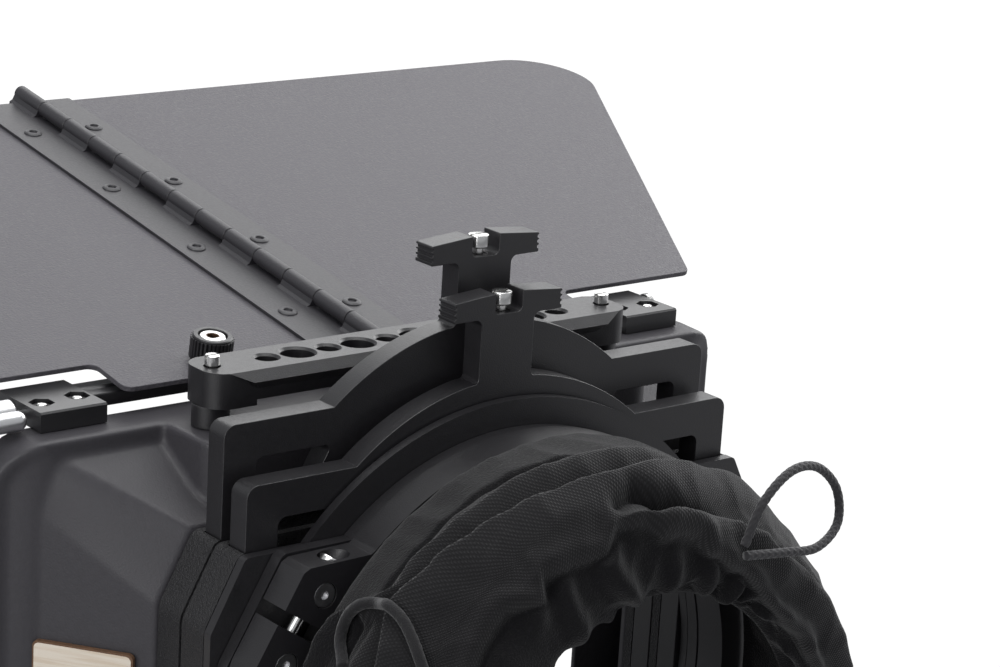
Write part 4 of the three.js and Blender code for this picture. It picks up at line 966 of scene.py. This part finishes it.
def flank(x, front, rear, sharp=False):
    """A fold's section: one at its crest, nothing beyond its flanks. A valley comes to a sharper line."""
    w = abs(x) / (front if x < 0 else rear)
    return math.exp(-1.5 * w ** 1.25) if sharp else math.exp(-1.1 * w * w)


def crease(angle, t, turns, rate, seed):
    """Soft wrinkles with sharper crests. turns and rate say how fast they change round and along."""
    a = math.radians(angle)
    where = Vector((math.cos(a) * turns + seed, math.sin(a) * turns, t * rate + 0.4 * math.sin(a + seed)))
    return 1 - 2.6 * abs(noise.noise(where)) - 0.35 * abs(noise.noise(where * 2.3))


def gathers(angle, t):
    """The gathers that the drawcord pulls into the collar."""
    a = math.radians(angle)
    wander = 2.2 * noise.noise(Vector((math.cos(a) * 2.5, math.sin(a) * 2.5, t * 3)))
    wave = 0.5 + 0.5 * math.cos(a * 31 + wander * 3.2 + 2.6 * math.sin(a * 4 + 1))
    return wave ** 1.5 * (0.75 + 1.3 * noise.noise(Vector((math.cos(a) * 5, math.sin(a) * 5, 7))))


def sleeve_point(section, lengths, t):
    """Point and direction of the smooth section at t."""
    s = t * lengths[-1]
    for k in range(len(lengths) - 1):
        if s <= lengths[k + 1] or k == len(lengths) - 2:
            w = (s - lengths[k]) / (lengths[k + 1] - lengths[k])
            step = section[k + 1] - section[k]
            return section[k] + step * w, step.normalized()
    return section[-1], Vector((0, 1))


def spline(stops, steps=44):
    """A smooth path through all the stops but the first and the last."""
    stops = [Vector(p) for p in stops]
    out = []
    for k in range(1, len(stops) - 2):
        p0, p1, p2, p3 = stops[k - 1:k + 3]
        for i in range(steps):
            w = i / steps
            out.append(0.5 * ((2 * p1) + (p2 - p0) * w + (2 * p0 - 5 * p1 + 4 * p2 - p3) * w * w
                              + (3 * p1 - p0 - 3 * p2 + p3) * w ** 3))
    out.append(stops[-2])
    return out


def fine_section():
    """The section as a smooth curve, with the length along it at each point."""
    out = spline([SLEEVE[0], *SLEEVE, SLEEVE[-1]], 12)
    lengths = [0.0]
    for a, b in zip(out, out[1:]):
        lengths.append(lengths[-1] + (b - a).length)
    return out, lengths


def soft_step(x, width):
    """Zero well below x = 0 and one well above it."""
    return 1 / (1 + math.exp(-x / width))


def light_trap():
    """The gathered sleeve, swept round the axis. Folds move it off its smooth section and along it."""
    section, lengths = fine_section()
    total = lengths[-1]
    bm = bmesh.new()
    uv = bm.loops.layers.uv.new("weave")
    base = [sleeve_point(section, lengths, j / (ROWS - 1)) for j in range(ROWS)]
    rings = []
    for i in range(ANGLES):
        angle = 360 * i / ANGLES
        a = math.radians(angle)
        folds = [(around(angle, path), around(angle, height), *flanks) for _, path, height,
                 *flanks in FOLDS]
        ripple = noise.noise(Vector((math.cos(a) * 9, math.sin(a) * 9, 3)))
        collar = around(angle, COLLAR) + 0.012 * ripple
        seam = around(angle, HEM_SEAM)
        slim = around(angle, SLIM)
        ring = []
        for j in range(ROWS):
            t = j / (ROWS - 1)
            (r, y), along = base[j]
            out = Vector((-along.y, along.x))
            height, lean = 0.0, 0.0
            for centre, size, front, rear in folds:
                amount = size * flank(t - centre, front, rear, size < 0)
                height += amount
                if size > 0:
                    lean -= 0.65 * amount * flank(t - centre, 0.03, 0.05)
            inside = soft_step(t - collar, 0.006)
            hem = soft_step(seam - t, 0.008)
            free = (1 - inside) * (1 - hem)
            height += free * (0.9 * crease(angle, t, 2.6, 7, 0) + 0.4 * crease(angle, t, 7, 9, 5))
            height += hem * (0.3 + 0.45 * crease(angle, t, 7, 3, 9)) * min(1, t / 0.05)
            height += (1 - inside) * 1.6 * math.exp(-((t - collar + 0.03) / 0.03) ** 2)
            pulled = 3.3 * gathers(angle, t) * min(1, (t - collar) / 0.04 + 0.2)
            height += inside * (-3.4 + pulled + 0.5 * crease(angle, t, 6, 6, 2))
            edge = min(1, t / 0.04) * min(1, (1 - t) / 0.03)
            height *= edge
            lean *= edge
            rr = r + out.x * height + along.x * lean + slim * min(1, t / 0.3) * min(1, (1 - t) / 0.45)
            yy = y + out.y * height + along.y * lean
            ring.append(bm.verts.new((rr * math.cos(a), yy, rr * math.sin(a))))
        rings.append((ring, seam, collar))
    for i in range(ANGLES):
        ring, seam, collar = rings[i]
        after = rings[(i + 1) % ANGLES][0]
        for j in range(ROWS - 1):
            face = bm.faces.new((ring[j], ring[j + 1], after[j + 1], after[j]))
            face.material_index = 0 if seam <= (j + 0.5) / (ROWS - 1) <= collar else 1
            for loop, (di, dj) in zip(face.loops, ((0, 0), (0, 1), (1, 1), (1, 0))):
                loop[uv].uv = ((i + di) * 2 * math.pi * WEAVE_R / ANGLES, (j + dj) * total / (ROWS - 1))
    obj = mesh_object("tool", bm)
    obj.data.materials.append(knit_material())
    obj.data.materials.append(felt_material())
    thick = obj.modifiers.new("thickness", "SOLIDIFY")
    thick.thickness = CLOTH * MM
    thick.offset = -1
    apply_modifiers(obj)
    return finish(obj, "fabric_sleeve", "hood_body", [], ["light_trap"], angle=180)


def knit_material():
    """Fine black twill: two crossed sets of threads along the sleeve's own directions."""
    black = (0.0095, 0.009, 0.0105)
    mat = node_material("black_knit", black, 0.8, sheen=0.16, specular=0.3)
    nodes, links = mat.node_tree.nodes, mat.node_tree.links
    bsdf = nodes["Principled BSDF"]
    uv = nodes.new("ShaderNodeUVMap")
    uv.uv_map = "weave"
    heights = []
    for turn in (38, -52):
        turned_uv = shader_node(nodes, "Mapping", Rotation=(0, 0, math.radians(turn)))
        wave = shader_node(nodes, "TexWave", Scale=0.46, Distortion=0.6, Detail=1)
        wave.wave_profile = "SIN"
        links.new(uv.outputs["UV"], turned_uv.inputs["Vector"])
        links.new(turned_uv.outputs["Vector"], wave.inputs["Vector"])
        heights.append(wave.outputs["Fac"])
    add = nodes.new("ShaderNodeMath")
    add.operation = "MULTIPLY"
    links.new(heights[0], add.inputs[0])
    links.new(heights[1], add.inputs[1])
    bump = shader_node(nodes, "Bump", Strength=0.9, Distance=BUMP_DEPTH)
    links.new(add.outputs["Value"], bump.inputs["Height"])
    links.new(bump.outputs["Normal"], bsdf.inputs["Normal"])
    tint = shader_node(nodes, "MapRange", To_Min=0.55, To_Max=1.5)
    links.new(add.outputs["Value"], tint.inputs["Value"])
    colour = nodes.new("ShaderNodeVectorMath")
    colour.operation = "SCALE"
    colour.inputs[0].default_value = black
    links.new(tint.outputs["Result"], colour.inputs["Scale"])
    links.new(colour.outputs["Vector"], bsdf.inputs["Base Color"])
    return mat


def felt_material():
    return node_material("black_felt", (0.0065, 0.0062, 0.0072), 0.95, grain=(0.45, 1.8),
                         mottle=(1.1, 0.4), sheen=0.16, specular=0.12)


# ---------------------------------------------------------------- drawcord loops

RIGHT_LOOP = ((17, -75.5, 64.5), (19, -76.5, 66), (24, -77, 77), (36, -74, 82.5), (49, -70.5, 80.5),
              (58.5, -69, 72.5), (58, -71, 63.5), (47, -75, 60), (34, -76.5, 61.5), (19.5, -76.8, 63.3),
              (15, -76, 63))
LEFT_LOOP = ((-70, -38, 24), (-72, -34, 36), (-73.5, -31.5, 43), (-72, -31.5, 48.5), (-69.5, -34.5, 52.5),
             (-67.5, -40, 54), (-69, -49.5, 54.5), (-68.5, -55, 50), (-68, -60, 43), (-66, -64, 32),
             (-64, -66, 20))


def on_fabric(fabric, path, lift):
    """The path laid on the fabric's outside, pulled straight over the hollows between folds."""
    skin = BVHTree.FromPolygons([v.co for v in fabric.data.vertices],
                                [p.vertices[:] for p in fabric.data.polygons])
    laid = []
    for point in path:
        outward = (Vector((point.x, 0, point.z)).normalized() + Vector((0, -0.6, 0))).normalized()
        start = HOOD_ORIGIN + (point + outward * 25) * MM
        place = skin.ray_cast(start, -outward)[0]
        laid.append(((place - HOOD_ORIGIN) / MM + outward * lift, outward))
    heights = [place.dot(outward) for place, outward in laid]
    eased = list(heights)
    for _ in range(40):
        eased = [eased[0]] + [(a + b * 2 + c) / 4 for a, b,
                              c in zip(eased, eased[1:], eased[2:])] + [eased[-1]]
        eased = [max(a, b) for a, b in zip(eased, heights)]
    return [place + outward * (e - h) for (place, outward), e, h in zip(laid, eased, heights)]


def braided_cord(name, path, core, relief, material, replaced):
    """A round braided cord: two crossed sets of four strands that stand up in relief."""
    bm = bmesh.new()
    sides = 32
    lay = 2.6
    rings = []
    travelled = 0.0
    normal = Vector((0, 1, 0))
    for k, point in enumerate(path):
        tangent = (path[min(k + 1, len(path) - 1)] - path[max(k - 1, 0)]).normalized()
        normal = (normal - tangent * normal.dot(tangent)).normalized()
        across = tangent.cross(normal)
        if k:
            travelled += (point - path[k - 1]).length
        ring = []
        for i in range(sides):
            a = 2 * math.pi * i / sides
            one = math.cos(4 * a + travelled * lay)
            two = math.cos(4 * a - travelled * lay)
            radius = core + relief * max(one, two)
            ring.append(bm.verts.new(point + (normal * math.cos(a) + across * math.sin(a)) * radius))
        rings.append(ring)
    for a, b in zip(rings, rings[1:]):
        for i in range(sides):
            j = (i + 1) % sides
            bm.faces.new((a[i], a[j], b[j], b[i]))
    bm.faces.new(rings[0])
    bm.faces.new(list(reversed(rings[-1])))
    return finish(mesh_object("tool", bm), name, "hood_body", [material], replaced,
                  angle=180)


sleeve = light_trap()
CORD = node_material("black_cord", (0.03, 0.029, 0.032), 0.75, grain=(0.3, 0.5), sheen=0.3, specular=0.3)
SOFT_CORD = node_material("soft_cord", (0.016, 0.0155, 0.017), 0.9, grain=(0.35, 1.0), mottle=(1.5, 0.35),
                          sheen=0.3, specular=0.2)
braided_cord("drawcord", spline(RIGHT_LOOP), 1.12, 0.13, CORD, ["drawcord_loop"])
braided_cord("drawcord_left", on_fabric(sleeve, spline(LEFT_LOOP, 12), 1.5), 1.45, 0.06, SOFT_CORD, [])

# ---------------------------------------------------------------- light, floor and camera


FLOOR_DROP = 4  # below the part's lowest point


def area_light(name, location, target, size, power):
    data = bpy.data.lights.new(name, "AREA")
    data.shape = "RECTANGLE"
    data.size, data.size_y = size
    data.energy = power
    obj = bpy.data.objects.new(name, data)
    obj.location = location
    obj.rotation_euler = (Vector(target) - Vector(location)).to_track_quat("-Z", "Y").to_euler()
    bpy.context.scene.collection.objects.link(obj)
    return obj


def floor_and_world():
    bm = bmesh.new()
    z = cad_lo.z / MM - FLOOR_DROP
    prism(bm, rect(-9000, -6000, 9000, 12000), z - 5, z, "z")
    floor = mesh_object("floor", bm)
    mat = bpy.data.materials.new("pale_floor")
    mat.use_nodes = True
    nodes, links = mat.node_tree.nodes, mat.node_tree.links
    nodes.clear()
    out = nodes.new("ShaderNodeOutputMaterial")
    mix = nodes.new("ShaderNodeMixShader")
    path = nodes.new("ShaderNodeLightPath")
    pale = shader_node(nodes, "BsdfDiffuse", Color=(0.35, 0.35, 0.36, 1))
    glow = shader_node(nodes, "Emission", Color=(1, 1, 1, 1), Strength=1.05)
    links.new(path.outputs["Is Camera Ray"], mix.inputs["Fac"])
    links.new(pale.outputs["BSDF"], mix.inputs[1])
    links.new(glow.outputs["Emission"], mix.inputs[2])
    links.new(mix.outputs["Shader"], out.inputs["Surface"])
    floor.data.materials.append(mat)
    world = bpy.data.worlds.new("studio")
    world.use_nodes = True
    world.node_tree.nodes["Background"].inputs["Color"].default_value = (0.95, 0.97, 1.0, 1)
    world.node_tree.nodes["Background"].inputs["Strength"].default_value = 0.42
    bpy.context.scene.world = world


floor_and_world()
area_light("softbox_back", (1.05, 1.45, 1.1), (0.03, 0.05, 0.05), (1.6, 1.2), 10.6)
area_light("softbox_top", (0.1, 0.1, 1.4), (0.03, 0.05, 0), (1.2, 1.2), 11.5)
area_light("fill_left", (-1.4, -0.5, 0.5), (0, 0, 0.02), (1.0, 1.0), 8)
area_light("softbox_right", (0.98, 0.2, 0.55), (0.05, 0.05, 0.05), (0.7, 0.7), 5.2)

AZIMUTH = math.radians(-39.304)
ELEVATION = math.radians(16.117)
ROLL = math.radians(3.48)
CAMERA_PLACE = HOOD_ORIGIN + Vector((-0.48623, -0.59033, 0.325757))
back = Vector((math.sin(AZIMUTH) * math.cos(ELEVATION), -math.cos(AZIMUTH) * math.cos(ELEVATION),
               math.sin(ELEVATION)))
level = Vector((0, 0, 1)).cross(back).normalized()
above = back.cross(level)
right = level * math.cos(ROLL) + above * math.sin(ROLL)
up = above * math.cos(ROLL) - level * math.sin(ROLL)
camera = bpy.data.objects.new("camera", bpy.data.cameras.new("camera"))
camera.data.lens = 107.44
camera.data.sensor_width = 36
camera.data.clip_start = 0.01
camera.data.clip_end = 50
camera.matrix_world = Matrix.Translation(CAMERA_PLACE) @ Matrix(((right.x, up.x, back.x, 0),
                                                                 (right.y, up.y, back.y, 0),
                                                                 (right.z, up.z, back.z, 0),
                                                                 (0, 0, 0, 1)))
bpy.context.scene.collection.objects.link(camera)
bpy.context.scene.camera = camera
bpy.context.scene.view_settings.view_transform = "Standard"
